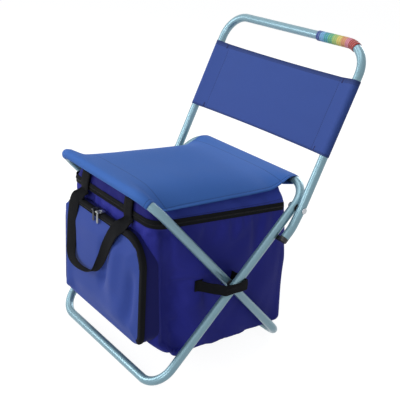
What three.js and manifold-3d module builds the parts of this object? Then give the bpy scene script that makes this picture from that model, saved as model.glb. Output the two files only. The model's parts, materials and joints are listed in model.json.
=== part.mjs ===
// Folding cooler stool: two crossed steel loops, a backrest hoop and a soft insulated bag under a cloth seat.
// Millimetres, +Z up, X across the stool, the front at -Y. Every length that can be set has a name here,
// and names that end in share or shares are fractions of the sizes they follow.
import * as THREE from 'three';
import { mergeVertices } from 'three/addons/utils/BufferGeometryUtils.js';
import Module from 'manifold-3d';

const wasm = await Module();
wasm.setup();

// Steel tube and its bends
const TUBE_D = 16;
const TUBE_WALL = 0.8;
const TUBE_SIDES = 12;
const FRAME_BEND = 44;
const HOOP_BEND = 50;
const HOOP_KNEE_BEND = 60;
const BEND_STEPS = 6;
const BUTT_GAP = 0.8;
const JOINER_LENGTH = 60;

// The two crossed loops, measured from the pivot along the legs
const FRAME_WIDTH = 342;
const PIVOT_HEIGHT = 165.6;
const REAR_FOOT_REACH = 222.3;
const REAR_BAR_REACH = 224.6;
const FRONT_FOOT_REACH = 215.4;
const FRONT_BAR_REACH = 249.2;

// Rivets and washers
const RIVET_D = 6;
const RIVET_HEAD_D = 11;
const RIVET_HEAD = 1.6;
const RIVET_SIDES = 16;
const WASHER_D = 15;
const PIVOT_WASHER = 1.8;
const BACK_WASHER = 1;

// Clearances
const CLEAR = 0.35;
const WELD = 0.001;
const OVERRUN = 5;

// Backrest hoop: the knee is on its rivet, high on the rear loop's leg
const KNEE_BELOW_BAR = 46.6;
const HOOP_HEIGHT = 568.4;
const HOOP_LEAN_DEGREES = 24;
const HOOP_SHIN = 38;
const HOOP_TOE = 20;
const SHIN_TURN_DEGREES = 15.4;
const PLUG_INSERT = 10;
const STOP_LENGTH = 9;
const STOP_LUG_HEIGHT = 7;

// Backrest cloth and the striped grip on the hoop's top bar
const CLOTH = 1.2;
const PANEL_DROP_SHARE = 0.198;
const PANEL_HEIGHT_SHARE = 0.466;
const CASING_SEAM = 27;
const CASING_EASE = 0.8;
const GRIP_WALL = 1.5;
const GRIP_START = 65;
const GRIP_LENGTH = 98;

// Seat cloth
const SEAT_HALF = 134;
const SEAT_DROOP = 20;
const SEAT_SAG = 5;
const FRONT_SLEEVE_ROUND_SHARE = 0.5;
const REAR_SLEEVE_ROUND_SHARE = 0.12;

// Bag: a tall soft box hung inside the legs
const BAG_HALF = 136;
const BAG_BOTTOM = 33;
const RIM_BEHIND_FRONT_BAR = 17.4;
const RIM_BEFORE_REAR_BAR = 14.4;
const FOOT_SET_BACK = 54.5;
const KNEE_SET_BACK = 13.5;
const REAR_SWELL = 16;
const BAG_KNEE_SHARE = 0.125;
const BAG_BULGE_SHARE = 0.55;
const BAG_FOOT_CORNER = 12;
const BAG_CORNER = 25;
const BAG_REAR_CORNER = 14;
const BAG_CORNER_STEPS = 4;
const BAG_HEM = 10;
const BAG_SHELL = 1.2;
const BAG_FOAM = 5;
const BAG_LINER = 0.8;
const BAG_PLY_GAP = 0.4;
const BOARD = 3;
const BOARD_INSET = 14;
const ZIP_BELOW_SEAT = 48;
const ZIP_HEIGHT = 11;
const ZIP_THICK = 1.6;
const LID_ROUND = 8;
const LID_CROWN = 55;
const LID_GAP = 2.4;

// Front pocket
const POCKET_HALF = 133;
const POCKET_BOTTOM = 70;
const POCKET_BELOW_ZIP = 27.7;
const POCKET_DEPTH = 14;
const POCKET_TOP_ROUND = 50;
const POCKET_FOOT_ROUND = 26;
const POCKET_EDGE = 5;
const POCKET_ZIP_WIDTH = 9;
const POCKET_CORNER_STEPS = 5;
const POCKET_STAND = 0.7;

// Zip sliders and their pulls
const SLIDER_LENGTH = 12;
const SLIDER_THICK = 3;
const SLIDER_LIP = 1;
const CHEEK_THICK = 1.2;
const CHEEK_REACH = 4.4;
const BAIL_PIN_D = 1.6;
const PULL_LENGTH = 21;
const PULL_WIDTH = 6;
const PULL_THICK = 1.2;
const PULL_EYE_D = 4.2;
const POCKET_SLIDER_PLACES = [-21, -7];
const LID_SLIDER_PLACE = 66;

// Webbing: the carry handle and the straps round the leg crossings
const WEB_WIDTH = 25;
const WEB_THICK = 2.2;
const HANDLE_HALF = 74;
const HANDLE_ABOVE_POCKET = 17;
const HANDLE_HANG = 142;
const HANDLE_STAND = 30;
const STRAP_THICK = 1.4;
const STRAP_WIDTH = 18;
const STRAP_ANCHOR = 52;
const STRAP_TAIL = 8;

const TUBE_R = TUBE_D / 2;
const BORE_R = TUBE_R - TUBE_WALL;
const TUBE_TIP = TUBE_R / Math.cos(Math.PI / TUBE_SIDES);
const SLEEVE_IN = TUBE_R + CLEAR;
const SLEEVE_OUT = SLEEVE_IN + CLOTH;
const REAR_HALF = FRAME_WIDTH / 2;
const FRONT_HALF = REAR_HALF - 2 * TUBE_TIP - PIVOT_WASHER - 2 * CLEAR;
const HOOP_HALF = REAR_HALF + 2 * TUBE_TIP + BACK_WASHER + 2 * CLEAR;
const KNEE_REACH = REAR_BAR_REACH - KNEE_BELOW_BAR;
const REAR_LEAN = Math.asin((PIVOT_HEIGHT - TUBE_R) / REAR_FOOT_REACH);
const FRONT_LEAN = Math.asin((PIVOT_HEIGHT - TUBE_R) / FRONT_FOOT_REACH);

const { cos, sin, tan, PI } = Math;
const rad = THREE.MathUtils.degToRad;
const lerp = THREE.MathUtils.lerp;
const V = (x, y, z) => new THREE.Vector3(x, y, z);

// Materials
const paint = (color, roughness, metalness = 0) =>
  new THREE.MeshStandardMaterial({ color, roughness, metalness });
const STEEL = paint(0x9bbccb, 0.38, 0.35);
const ZINC = paint(0xb9bdc0, 0.3, 0.9);
const NYLON = paint(0x17181a, 0.5);
const WEBBING = paint(0x1b1c1f, 0.9);
const SEAT_BLUE = paint(0x3f66b8, 0.9);
const BACK_BLUE = paint(0x35509f, 0.9);
const BAG_BLUE = paint(0x2b3a96, 0.9);
const LINING = paint(0xc9ccd1, 0.5);
const FOAM = paint(0xe8e6df, 0.95);
const BOARD_GREY = paint(0x55585c, 0.7);
const GRIP = paint(0xd9a13b, 0.85);

const root = new THREE.Group();
const stool = new THREE.Group();
root.add(stool);

// Geometry helpers

// A closed geometry whose faces point out, whichever way its rings were wound.
function facingOut(geometry) {
  const bare = geometry.clone();
  bare.deleteAttribute('normal');
  bare.deleteAttribute('uv');
  const g = mergeVertices(bare, WELD);
  const p = g.attributes.position;
  const index = Array.from(g.index.array);
  const [a, b, c] = [V(), V(), V()];
  let volume = 0;
  for (let i = 0; i < index.length; i += 3) {
    a.fromBufferAttribute(p, index[i]);
    b.fromBufferAttribute(p, index[i + 1]);
    c.fromBufferAttribute(p, index[i + 2]);
    volume += a.dot(b.cross(c));
  }
  if (volume < 0) index.reverse();
  g.setIndex(index);
  g.computeVertexNormals();
  return g;
}

// A closed skin over rings of equal point counts, with a fan over each end from the middle of its hub points.
function skin(rings, hubPoints = rings[0].map((_, i) => i)) {
  const count = rings[0].length;
  const points = rings.flat();
  const index = [];
  for (let r = 0; r + 1 < rings.length; r++) {
    for (let i = 0; i < count; i++) {
      const j = (i + 1) % count;
      const [a, b, c, d] = [r * count + i, r * count + j, (r + 1) * count + i, (r + 1) * count + j];
      const ridge = points[a].z + points[d].z > points[b].z + points[c].z;
      index.push(...(ridge ? [a, b, d, a, d, c] : [a, b, c, b, d, c]));
    }
  }
  [rings[0], rings.at(-1)].forEach((ring, end) => {
    const middle = hubPoints.reduce((sum, i) => sum.add(ring[i]), V(0, 0, 0)).divideScalar(hubPoints.length);
    const hub = points.push(middle) - 1;
    const first = end ? (rings.length - 1) * count : 0;
    for (let i = 0; i < count; i++) {
      const [a, b] = [first + i, first + ((i + 1) % count)];
      index.push(...(end ? [hub, a, b] : [hub, b, a]));
    }
  });
  const g = new THREE.BufferGeometry().setFromPoints(points);
  g.setIndex(index);
  return facingOut(g);
}

// The geometry as a solid that can be joined and cut.
function solidOf(geometry) {
  const g = facingOut(geometry);
  return new wasm.Manifold(new wasm.Mesh({
    numProp: 3,
    vertProperties: new Float32Array(g.attributes.position.array),
    triVerts: new Uint32Array(g.index.array),
  }));
}

function geometryOf(solid) {
  const m = solid.getMesh();
  const g = new THREE.BufferGeometry();
  g.setAttribute('position', new THREE.BufferAttribute(new Float32Array(m.vertProperties), m.numProp));
  g.setIndex(Array.from(m.triVerts));
  g.computeVertexNormals();
  return g;
}

const joined = (...parts) => geometryOf(parts.map(solidOf).reduce((sum, s) => sum.add(s)));
const cut = (body, ...tools) =>
  geometryOf(tools.map(solidOf).reduce((rest, t) => rest.subtract(t), solidOf(body)));
const moved = (geometry, matrix) => geometry.clone().applyMatrix4(matrix);
const at = (x, y, z) => new THREE.Matrix4().makeTranslation(x, y, z);

function addPiece(name, geometry, material, parent = stool) {
  const mesh = new THREE.Mesh(facingOut(geometry), material);
  mesh.name = name;
  parent.add(mesh);
  return mesh;
}

// A route of straights and round bends through corner points, with stations only where it turns.
class BentPath extends THREE.Curve {
  constructor(places, headings) {
    super();
    this.places = places;
    this.headings = headings;
  }

  static through(corners, bends) {
    const places = [corners[0].clone()];
    const headings = [corners[1].clone().sub(corners[0]).normalize()];
    for (let i = 1; i + 1 < corners.length; i++) {
      const into = corners[i].clone().sub(corners[i - 1]).normalize();
      const away = corners[i + 1].clone().sub(corners[i]).normalize();
      const turn = into.angleTo(away);
      const radius = Array.isArray(bends) ? bends[i - 1] : bends;
      const start = corners[i].clone().addScaledVector(into, -radius * tan(turn / 2));
      const inward = away.clone().addScaledVector(into, -away.dot(into)).normalize();
      const steps = Math.max(2, Math.ceil((BEND_STEPS * turn) / (PI / 2)));
      for (let k = 0; k <= steps; k++) {
        const a = (turn * k) / steps;
        places.push(start.clone().addScaledVector(into, radius * sin(a))
          .addScaledVector(inward, radius * (1 - cos(a))));
        headings.push(into.clone().multiplyScalar(cos(a)).addScaledVector(inward, sin(a)));
      }
    }
    places.push(corners.at(-1).clone());
    headings.push(corners.at(-1).clone().sub(corners.at(-2)).normalize());
    return new BentPath(places, headings);
  }

  // The stretch of the route between two lengths along it.
  stretch(from, to) {
    const places = [];
    const headings = [];
    let run = 0;
    for (let i = 0; i + 1 < this.places.length; i++) {
      const span = this.places[i].distanceTo(this.places[i + 1]);
      const inside = (s) => s >= run && s < run + span;
      const add = (share) => {
        places.push(this.places[i].clone().lerp(this.places[i + 1], share));
        headings.push(this.headings[i].clone().lerp(this.headings[i + 1], share).normalize());
      };
      if (inside(from)) add((from - run) / span);
      if (run > from && run < to) add(0);
      if (inside(to)) add((to - run) / span);
      run += span;
    }
    return new BentPath(places, headings);
  }

  get length() {
    return this.places.reduce((sum, p, i) => (i ? sum + p.distanceTo(this.places[i - 1]) : 0), 0);
  }

  get steps() {
    return this.places.length - 1;
  }

  getUtoTmapping(u) {
    return u;
  }

  getPoint(t, target = V()) {
    const s = t * this.steps;
    const i = Math.min(Math.floor(s), this.steps - 1);
    return target.lerpVectors(this.places[i], this.places[i + 1], s - i);
  }

  getTangent(t, target = V()) {
    const s = t * this.steps;
    const i = Math.min(Math.floor(s), this.steps - 1);
    return target.lerpVectors(this.headings[i], this.headings[i + 1], s - i).normalize();
  }
}

// A polygon of the given flat-to-centre size with one flat facing the given angle.
function flatPolygon(radius, angle, sides = TUBE_SIDES) {
  const tip = radius / cos(PI / sides);
  return Array.from({ length: sides }, (_, k) => {
    const a = angle + ((k + 0.5) * 2 * PI) / sides;
    return new THREE.Vector2(tip * cos(a), tip * sin(a));
  });
}

// A pipe along a route, open at both ends.
function pipe(path, outer, inner, angle) {
  const shape = new THREE.Shape(flatPolygon(outer, angle));
  shape.holes.push(new THREE.Path(flatPolygon(inner, angle)));
  return new THREE.ExtrudeGeometry(shape, { steps: path.steps, extrudePath: path, bevelEnabled: false });
}

// A round pin along X with a domed head at each end.
function rivet(from, to) {
  const shank = RIVET_D / 2;
  const head = RIVET_HEAD_D / 2;
  const profile = [
    [0, from - RIVET_HEAD], [head / 2, from - RIVET_HEAD], [head, from - RIVET_HEAD / 2], [head, from],
    [shank, from], [shank, to], [head, to], [head, to + RIVET_HEAD / 2], [head / 2, to + RIVET_HEAD],
    [0, to + RIVET_HEAD],
  ].map(([r, x]) => new THREE.Vector2(r, x));
  return new THREE.LatheGeometry(profile, RIVET_SIDES).rotateZ(-PI / 2);
}

function washer(from, to, outer) {
  const inner = RIVET_D / 2 + CLEAR;
  const profile = [[inner, from], [outer, from], [outer, to], [inner, to], [inner, from]];
  const points = profile.map(([r, x]) => new THREE.Vector2(r, x));
  return new THREE.LatheGeometry(points, RIVET_SIDES).rotateZ(-PI / 2);
}

const crossBore = (length) =>
  new THREE.CylinderGeometry(RIVET_D / 2 + CLEAR, RIVET_D / 2 + CLEAR, length, RIVET_SIDES).rotateZ(PI / 2);

// Frames

// The four corners of a loop in its own plane: X across, Y along the legs, the pivot at the origin.
const loopCorners = (half, bar, foot) =>
  [V(BUTT_GAP / 2, bar, 0), V(half, bar, 0), V(half, -foot, 0), V(-half, -foot, 0), V(-half, bar, 0),
    V(-BUTT_GAP / 2, bar, 0)];

function loop(name, half, bar, foot, angle, place, bores) {
  const path = BentPath.through(loopCorners(half, bar, foot), FRAME_BEND);
  const tube = pipe(path, TUBE_R, BORE_R, angle);
  const bore = crossBore(2 * half + 2 * TUBE_D);
  const holes = bores.map((reach) => moved(bore, at(0, reach, 0)));
  addPiece(name, moved(cut(tube, ...holes), place), STEEL);
}

function joiner(name, bar, angle, place) {
  const path = BentPath.through([V(-JOINER_LENGTH / 2, bar, 0), V(JOINER_LENGTH / 2, bar, 0)], FRAME_BEND);
  const inner = BORE_R - CLEAR;
  addPiece(name, moved(pipe(path, inner, inner - TUBE_WALL, angle), place), ZINC);
}

// Each loop's place: turned about the pivot so that its foot bar lies on the floor.
const PIVOT = V(0, 0, PIVOT_HEIGHT);
const rearPlace = at(...PIVOT).multiply(new THREE.Matrix4().makeRotationX(REAR_LEAN));
const frontPlace = at(...PIVOT).multiply(new THREE.Matrix4().makeRotationX(PI - FRONT_LEAN));

// The tube's flat that must face down at the foot bar, as an angle in the swept section.
const REAR_FLAT = REAR_LEAN;
const FRONT_FLAT = PI - FRONT_LEAN;

const onRearLoop = (reach, x = 0) => V(x, reach, 0).applyMatrix4(rearPlace);
const rearBar = onRearLoop(REAR_BAR_REACH);
const frontBar = V(0, FRONT_BAR_REACH, 0).applyMatrix4(frontPlace);
const knee = onRearLoop(KNEE_REACH);

function addFrames() {
  loop('rear_seat_frame', REAR_HALF, REAR_BAR_REACH, REAR_FOOT_REACH, REAR_FLAT, rearPlace, [0, KNEE_REACH]);
  loop('front_seat_frame', FRONT_HALF, FRONT_BAR_REACH, FRONT_FOOT_REACH, FRONT_FLAT, frontPlace, [0]);
  joiner('rear_loop_joiner', REAR_BAR_REACH, REAR_FLAT, rearPlace);
  joiner('front_loop_joiner', FRONT_BAR_REACH, FRONT_FLAT, frontPlace);
}

const SIDES = [['left', -1], ['right', 1]];
const mirrorX = (side) => new THREE.Matrix4().makeScale(side, 1, 1);

function addRivets() {
  for (const [side, sign] of SIDES) {
    const pivotPin = rivet(FRONT_HALF - TUBE_TIP - CLEAR, REAR_HALF + TUBE_TIP + CLEAR);
    const pivotRing = washer(FRONT_HALF + TUBE_TIP + CLEAR, REAR_HALF - TUBE_TIP - CLEAR, WASHER_D / 2);
    const backPin = rivet(REAR_HALF - TUBE_TIP - CLEAR, HOOP_HALF + TUBE_TIP + CLEAR);
    const backRing = washer(REAR_HALF + TUBE_TIP + CLEAR, HOOP_HALF - TUBE_TIP - CLEAR, WASHER_D / 2);
    const onSide = (g, p) => moved(g, at(p.x, p.y, p.z).multiply(mirrorX(sign)));
    addPiece(`pivot_rivet_${side}`, onSide(pivotPin, PIVOT), ZINC);
    addPiece(`pivot_washer_${side}`, onSide(pivotRing, PIVOT), NYLON);
    addPiece(`backrest_rivet_${side}`, onSide(backPin, knee), ZINC);
    addPiece(`backrest_washer_${side}`, onSide(backRing, knee), NYLON);
  }
}

// Backrest

// The hoop's side line, from the stop at the bottom through the rivet to the top bar.
const away = (from, reach, lean) => V(0, from.y + reach * sin(lean), from.z + reach * cos(lean));
const LEG_LEAN = PI / 2 - REAR_LEAN;
const SHIN_LEAN = LEG_LEAN - rad(SHIN_TURN_DEGREES);
const shinEnd = away(knee, -HOOP_SHIN, SHIN_LEAN);
const toeEnd = away(shinEnd, -HOOP_TOE, LEG_LEAN);
const ARM_LENGTH = (HOOP_HEIGHT - knee.z) / cos(rad(HOOP_LEAN_DEGREES));
const hoopTop = away(knee, ARM_LENGTH, rad(HOOP_LEAN_DEGREES));
const armPlace = at(...hoopTop).multiply(new THREE.Matrix4().makeRotationX(PI / 2 - rad(HOOP_LEAN_DEGREES)));

function hoopPath() {
  const side = (p, sign) => V(sign * HOOP_HALF, p.y, p.z);
  const right = [toeEnd, shinEnd, knee, hoopTop].map((p) => side(p, 1));
  const left = [hoopTop, knee, shinEnd, toeEnd].map((p) => side(p, -1));
  const bends = [HOOP_KNEE_BEND, HOOP_KNEE_BEND, HOOP_BEND];
  return BentPath.through([...right, ...left], [...bends, ...bends.toReversed()]);
}

function addHoop() {
  const tube = pipe(hoopPath(), TUBE_R, BORE_R, 0);
  const bore = moved(crossBore(2 * HOOP_HALF + 2 * TUBE_D), at(0, knee.y, knee.z));
  addPiece('backrest_hoop', cut(tube, bore), STEEL);
}

// A plug in the hoop's foot with a lug that bears on the back of the leg and stops the backrest.
function addStops() {
  const plugR = BORE_R - CLEAR;
  const profile = [[0, PLUG_INSERT], [plugR, PLUG_INSERT], [plugR, -CLEAR], [TUBE_R, -CLEAR],
    [TUBE_R, CLEAR - STOP_LENGTH], [plugR, -STOP_LENGTH], [0, -STOP_LENGTH]];
  const plug = new THREE.LatheGeometry(profile.map(([r, y]) => new THREE.Vector2(r, y)), TUBE_SIDES);
  const lugReach = HOOP_HALF - REAR_HALF + TUBE_R;
  const lug = new THREE.BoxGeometry(lugReach, STOP_LENGTH - 2 * CLEAR, STOP_LUG_HEIGHT);
  const legFace = HOOP_SHIN * sin(LEG_LEAN - SHIN_LEAN) - TUBE_TIP - CLEAR;
  lug.translate(-lugReach / 2, -STOP_LENGTH / 2, legFace - STOP_LUG_HEIGHT / 2);
  const foot = moved(joined(plug, lug), new THREE.Matrix4().makeRotationX(REAR_LEAN));
  for (const [side, sign] of SIDES) {
    const place = at(sign * HOOP_HALF, toeEnd.y, toeEnd.z).multiply(mirrorX(sign));
    addPiece(`backrest_stop_${side}`, moved(foot, place), NYLON);
  }
}

// The outline of a cloth casing: round the arm, then drawn in to the seam.
function casing(radius, seam, half) {
  const touch = Math.acos(radius / seam);
  const steps = TUBE_SIDES;
  return Array.from({ length: steps + 1 }, (_, k) => {
    const a = lerp(-(PI - touch), PI - touch, k / steps);
    return new THREE.Vector2(half + radius * cos(a), radius * sin(a));
  });
}

function addBackrestPanel() {
  const outer = casing(SLEEVE_OUT + CASING_EASE, CASING_SEAM, HOOP_HALF);
  const flip = (points) => points.map((p) => new THREE.Vector2(-p.x, -p.y));
  const seamX = HOOP_HALF - CASING_SEAM;
  const web = [new THREE.Vector2(seamX, CLOTH), new THREE.Vector2(-seamX, CLOTH)];
  const webBack = [new THREE.Vector2(-seamX, -CLOTH), new THREE.Vector2(seamX, -CLOTH)];
  const shape = new THREE.Shape([...outer, ...web, ...flip(outer), ...webBack]);
  const inner = casing(SLEEVE_IN + CASING_EASE, CASING_SEAM - 2 * CLOTH, HOOP_HALF);
  const tip = new THREE.Vector2(seamX + SLEEVE_OUT / 2, 0);
  shape.holes.push(new THREE.Path([...inner, tip]), new THREE.Path(flip([...inner, tip])));
  const g = new THREE.ExtrudeGeometry(shape, { depth: PANEL_HEIGHT_SHARE * ARM_LENGTH, bevelEnabled: false });
  const upright = new THREE.Matrix4().makeRotationX(PI / 2);
  const place = armPlace.clone().multiply(at(0, -PANEL_DROP_SHARE * ARM_LENGTH, 0)).multiply(upright);
  addPiece('backrest_panel', moved(g, place), BACK_BLUE);
}

function addGrip() {
  const path = BentPath.through(
    [V(GRIP_START, 0, 0), V(HOOP_HALF, 0, 0), V(HOOP_HALF, -ARM_LENGTH / 2, 0)], HOOP_BEND);
  const wrap = pipe(path.stretch(0, GRIP_LENGTH), TUBE_R + CLEAR + GRIP_WALL, TUBE_R + CLEAR, 0);
  addPiece('grip_wrap', moved(wrap, armPlace), GRIP);
}

// Seat

// Height of the line between the two seat bars, at a depth y.
const barPlane = (y) => lerp(frontBar.z, rearBar.z, (y - frontBar.y) / (rearBar.y - frontBar.y));

// Height of the seat cloth's middle: it lies over both bars, sags a little and droops at its free edges.
const SEAT_STATION_SHARES = [0, 0.03, 0.07, 0.14, 0.25, 0.5, 0.75, 0.86, 0.93, 0.97, 1];
const SEAT_WIDTH_SHARES = [0.79, 0.85, 0.92, 0.97, 1, 1, 1, 1, 0.99, 0.97, 0.94];
const SEAT_REST_SHARE = 0.03;
const SEAT_ACROSS_SHARES = [-1, -0.93, -0.82, -0.65, -0.35, 0, 0.35, 0.65, 0.82, 0.93, 1];
const CLOTH_LIFT = SLEEVE_IN + (CLOTH * 3) / 4;
function seatHeight(x, y) {
  const share = (y - frontBar.y) / (rearBar.y - frontBar.y);
  const along = THREE.MathUtils.clamp((share - SEAT_REST_SHARE) / (1 - 2 * SEAT_REST_SHARE), 0, 1);
  const ends = Math.sqrt(4 * along * (1 - along));
  const edge = Math.min(1, Math.abs(x) / SEAT_HALF) ** 4;
  return barPlane(y) + CLOTH_LIFT - SEAT_SAG * ends - SEAT_DROOP * ends * edge;
}

function seatSheet() {
  return skin(SEAT_STATION_SHARES.map((share, i) => {
    const y = lerp(frontBar.y, rearBar.y, share);
    const half = SEAT_HALF * SEAT_WIDTH_SHARES[i];
    const line = (lift) => SEAT_ACROSS_SHARES.map((s) => V(s * half, y, seatHeight(s * half, y) + lift));
    return [...line(CLOTH / 2), ...line(-CLOTH / 2).reverse()];
  }));
}

// A cloth sleeve over a loop's top bar and part of its two bends.
function barSleeve(half, bar, angle, place, roundShare) {
  const low = bar - 2 * FRAME_BEND;
  const corners = [V(-half, low, 0), V(-half, bar, 0), V(half, bar, 0), V(half, low, 0)];
  const path = BentPath.through(corners, FRAME_BEND);
  const skipped = FRAME_BEND + (1 - roundShare) * FRAME_BEND * (PI / 2);
  const wrap = pipe(path.stretch(skipped, path.length - skipped), SLEEVE_OUT, SLEEVE_IN, angle);
  return moved(wrap, place);
}

function addSeat() {
  const front = barSleeve(FRONT_HALF, FRONT_BAR_REACH, FRONT_FLAT, frontPlace, FRONT_SLEEVE_ROUND_SHARE);
  const rear = barSleeve(REAR_HALF, REAR_BAR_REACH, REAR_FLAT, rearPlace, REAR_SLEEVE_ROUND_SHARE);
  addPiece('seat_panel', joined(seatSheet(), front, rear), SEAT_BLUE);
}

// Bag

function arc(x, y, radius, from, to, steps) {
  return Array.from({ length: steps + 1 }, (_, k) => {
    const a = lerp(from, to, k / steps);
    return new THREE.Vector2(x + radius * cos(a), y + radius * sin(a));
  });
}

// The bag hangs between the bars, and its depths follow them.
const BAG_FRONT_RIM = frontBar.y + RIM_BEHIND_FRONT_BAR;
const BAG_FRONT_KNEE = BAG_FRONT_RIM + KNEE_SET_BACK;
const BAG_REAR_RIM = rearBar.y - RIM_BEFORE_REAR_BAR;
const BAG_REAR_FOOT = BAG_REAR_RIM + REAR_SWELL;
const zipPlane = (y) => barPlane(y) - ZIP_BELOW_SEAT;

// The bag's outline seen from above, from the rear right corner forward round to the rear left one.
const BAG_SIDE_SHARES = [0.25, 0.5, 0.75];
function bagOutline(inset, front, rear, corner) {
  const half = BAG_HALF - inset;
  const [r, s] = [Math.max(corner - inset, CLEAR), Math.max(BAG_REAR_CORNER - inset, CLEAR)];
  const [near, far] = [front + inset + r, rear - inset - s];
  const side = (x, from, to) => BAG_SIDE_SHARES.map((share) => new THREE.Vector2(x, lerp(from, to, share)));
  return [
    ...arc(half - s, far, s, PI / 2, 0, BAG_CORNER_STEPS), ...side(half, far, near),
    ...arc(half - r, near, r, 0, -PI / 2, BAG_CORNER_STEPS), new THREE.Vector2(0, near - r),
    ...arc(r - half, near, r, -PI / 2, -PI, BAG_CORNER_STEPS), ...side(-half, near, far),
    ...arc(s - half, far, s, PI, PI / 2, BAG_CORNER_STEPS), new THREE.Vector2(0, far + s),
  ];
}

// The body's levels from foot to rim: share of the height, front depth, rear depth and front corner.
const bagFront = (share) =>
  lerp(BAG_FRONT_KNEE, BAG_FRONT_RIM, (share - BAG_KNEE_SHARE) / (1 - BAG_KNEE_SHARE));
const BAG_LEVELS = [
  [0, BAG_FRONT_RIM + FOOT_SET_BACK, BAG_REAR_FOOT, BAG_FOOT_CORNER],
  [BAG_KNEE_SHARE, BAG_FRONT_KNEE, BAG_REAR_FOOT, BAG_CORNER],
  [BAG_BULGE_SHARE, bagFront(BAG_BULGE_SHARE), BAG_REAR_FOOT, BAG_CORNER],
  [1, BAG_FRONT_RIM, BAG_REAR_RIM, BAG_CORNER],
];

function bagRing([share, front, rear, corner], inset, lift = 0) {
  const height = (p) => lerp(BAG_BOTTOM, zipPlane(p.y), share) + lift;
  return bagOutline(inset, front, rear, corner).map((p) => V(p.x, p.y, height(p)));
}

// One ply of the bag's open-topped body, between two distances in from its outside.
function bodyPly(outer, inner) {
  const [foot, knee, bulge, rim] = BAG_LEVELS;
  const wall = (d) => [
    bagRing(foot, BAG_HEM + d, d), bagRing(foot, BAG_HEM / 4 + d, BAG_HEM / 4 + d),
    bagRing(foot, d, BAG_HEM + d), bagRing(knee, d), bagRing(bulge, d), bagRing(rim, d, -CLEAR),
  ];
  return skin([...wall(outer), ...wall(inner).reverse()]);
}

const lidTop = (p) => seatHeight(p.x, p.y) - CLOTH / 2 - LID_GAP;

// One ply of the lid, a cap that follows the seat cloth above it.
function lidPly(outer, inner) {
  const rim = (inset) => bagOutline(inset, BAG_FRONT_RIM, BAG_REAR_RIM, BAG_CORNER);
  const ring = (inset, height) => rim(inset).map((p) => V(p.x, p.y, height(p)));
  const crown = (inset, d) => {
    const [half, front, rear] = [BAG_HALF - inset, BAG_FRONT_RIM + inset, BAG_REAR_RIM - inset];
    const shrink = new THREE.Vector2(half / BAG_HALF, (rear - front) / (BAG_REAR_RIM - BAG_FRONT_RIM));
    return rim(0).map((q) => {
      const p = new THREE.Vector2(q.x * shrink.x, lerp((front + rear) / 2, q.y, shrink.y));
      return V(p.x, p.y, lidTop(p) - d);
    });
  };
  const cap = (d) => [
    ring(d, (p) => zipPlane(p.y) + CLEAR), ring(d, (p) => lidTop(p) - LID_ROUND - d),
    ring(LID_ROUND / 4 + d, (p) => lidTop(p) - LID_ROUND / 4 - d), ring(LID_ROUND + d, (p) => lidTop(p) - d),
    crown(LID_CROWN / 2 + d, d), crown(LID_CROWN + d, d), crown(2 * LID_CROWN + d, d),
  ];
  return skin([...cap(outer).reverse(), ...cap(inner)]);
}

// The zip's tape: a strip outside the seam of body and lid, from one rear corner forward to the other.
function lidZip() {
  const frontMiddle = 2 * (BAG_CORNER_STEPS + 1) + BAG_SIDE_SHARES.length;
  const reach = frontMiddle - BAG_CORNER_STEPS + 1;
  const side = (out, lift) => bagOutline(-out, BAG_FRONT_RIM, BAG_REAR_RIM, BAG_CORNER)
    .slice(frontMiddle - reach, frontMiddle + reach + 1).map((p) => V(p.x, p.y, zipPlane(p.y) + lift));
  const [near, far, half] = [CLEAR, CLEAR + ZIP_THICK, ZIP_HEIGHT / 2];
  const edges = [side(near, -half), side(far, -half), side(far, half), side(near, half)];
  return skin(edges[0].map((_, i) => edges.map((edge) => edge[i])));
}

function addBag() {
  const plies = [BAG_SHELL, BAG_FOAM, BAG_LINER];
  const places = plies.map((_, i) => plies.slice(0, i).reduce((sum, t) => sum + t + BAG_PLY_GAP, 0));
  const looks = [BAG_BLUE, FOAM, LINING];
  ['shell', 'foam', 'liner'].forEach((ply, i) => {
    addPiece(`bag_${ply}`, bodyPly(places[i], places[i] + plies[i]), looks[i]);
    addPiece(`lid_${ply}`, lidPly(places[i], places[i] + plies[i]), looks[i]);
  });
  const floor = places[2] + BAG_LINER + BAG_PLY_GAP;
  const inset = floor + BOARD_INSET;
  const board = [floor, floor + BOARD].map((lift) => bagRing(BAG_LEVELS[0], inset, lift));
  addPiece('base_board', skin(board), BOARD_GREY);
  addPiece('lid_zip', lidZip(), WEBBING);
}

// Pocket

const POCKET_FRONT = BAG_FRONT_RIM - POCKET_DEPTH;
const POCKET_TOP = zipPlane(BAG_FRONT_RIM) - POCKET_BELOW_ZIP;

// Depth of the bag's front face, corners included.
function bagFace(x, z) {
  const share = (z - BAG_BOTTOM) / (zipPlane(BAG_FRONT_RIM) - BAG_BOTTOM);
  const side = Math.max(0, Math.abs(x) - (BAG_HALF - BAG_CORNER));
  return bagFront(share) + BAG_CORNER - Math.sqrt(BAG_CORNER ** 2 - side ** 2);
}

// The pocket's outline seen from the front, from the bottom left corner up and over to the bottom right one,
// with a point on each side where the zip ends.
function pocketOutline(out) {
  const [half, top, foot] = [POCKET_HALF + out, POCKET_TOP_ROUND + out, POCKET_FOOT_ROUND + out];
  const [high, low] = [POCKET_TOP - POCKET_TOP_ROUND, POCKET_BOTTOM + POCKET_FOOT_ROUND];
  const side = (x) => new THREE.Vector2(x, high - BUTT_GAP);
  return [
    ...arc(foot - half, low, foot, (3 * PI) / 2, PI, POCKET_CORNER_STEPS), side(-half),
    ...arc(top - half, high, top, PI, PI / 2, POCKET_CORNER_STEPS),
    ...arc(half - top, high, top, PI / 2, 0, POCKET_CORNER_STEPS), side(half),
    ...arc(half - foot, low, foot, 0, -PI / 2, POCKET_CORNER_STEPS),
  ];
}

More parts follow.
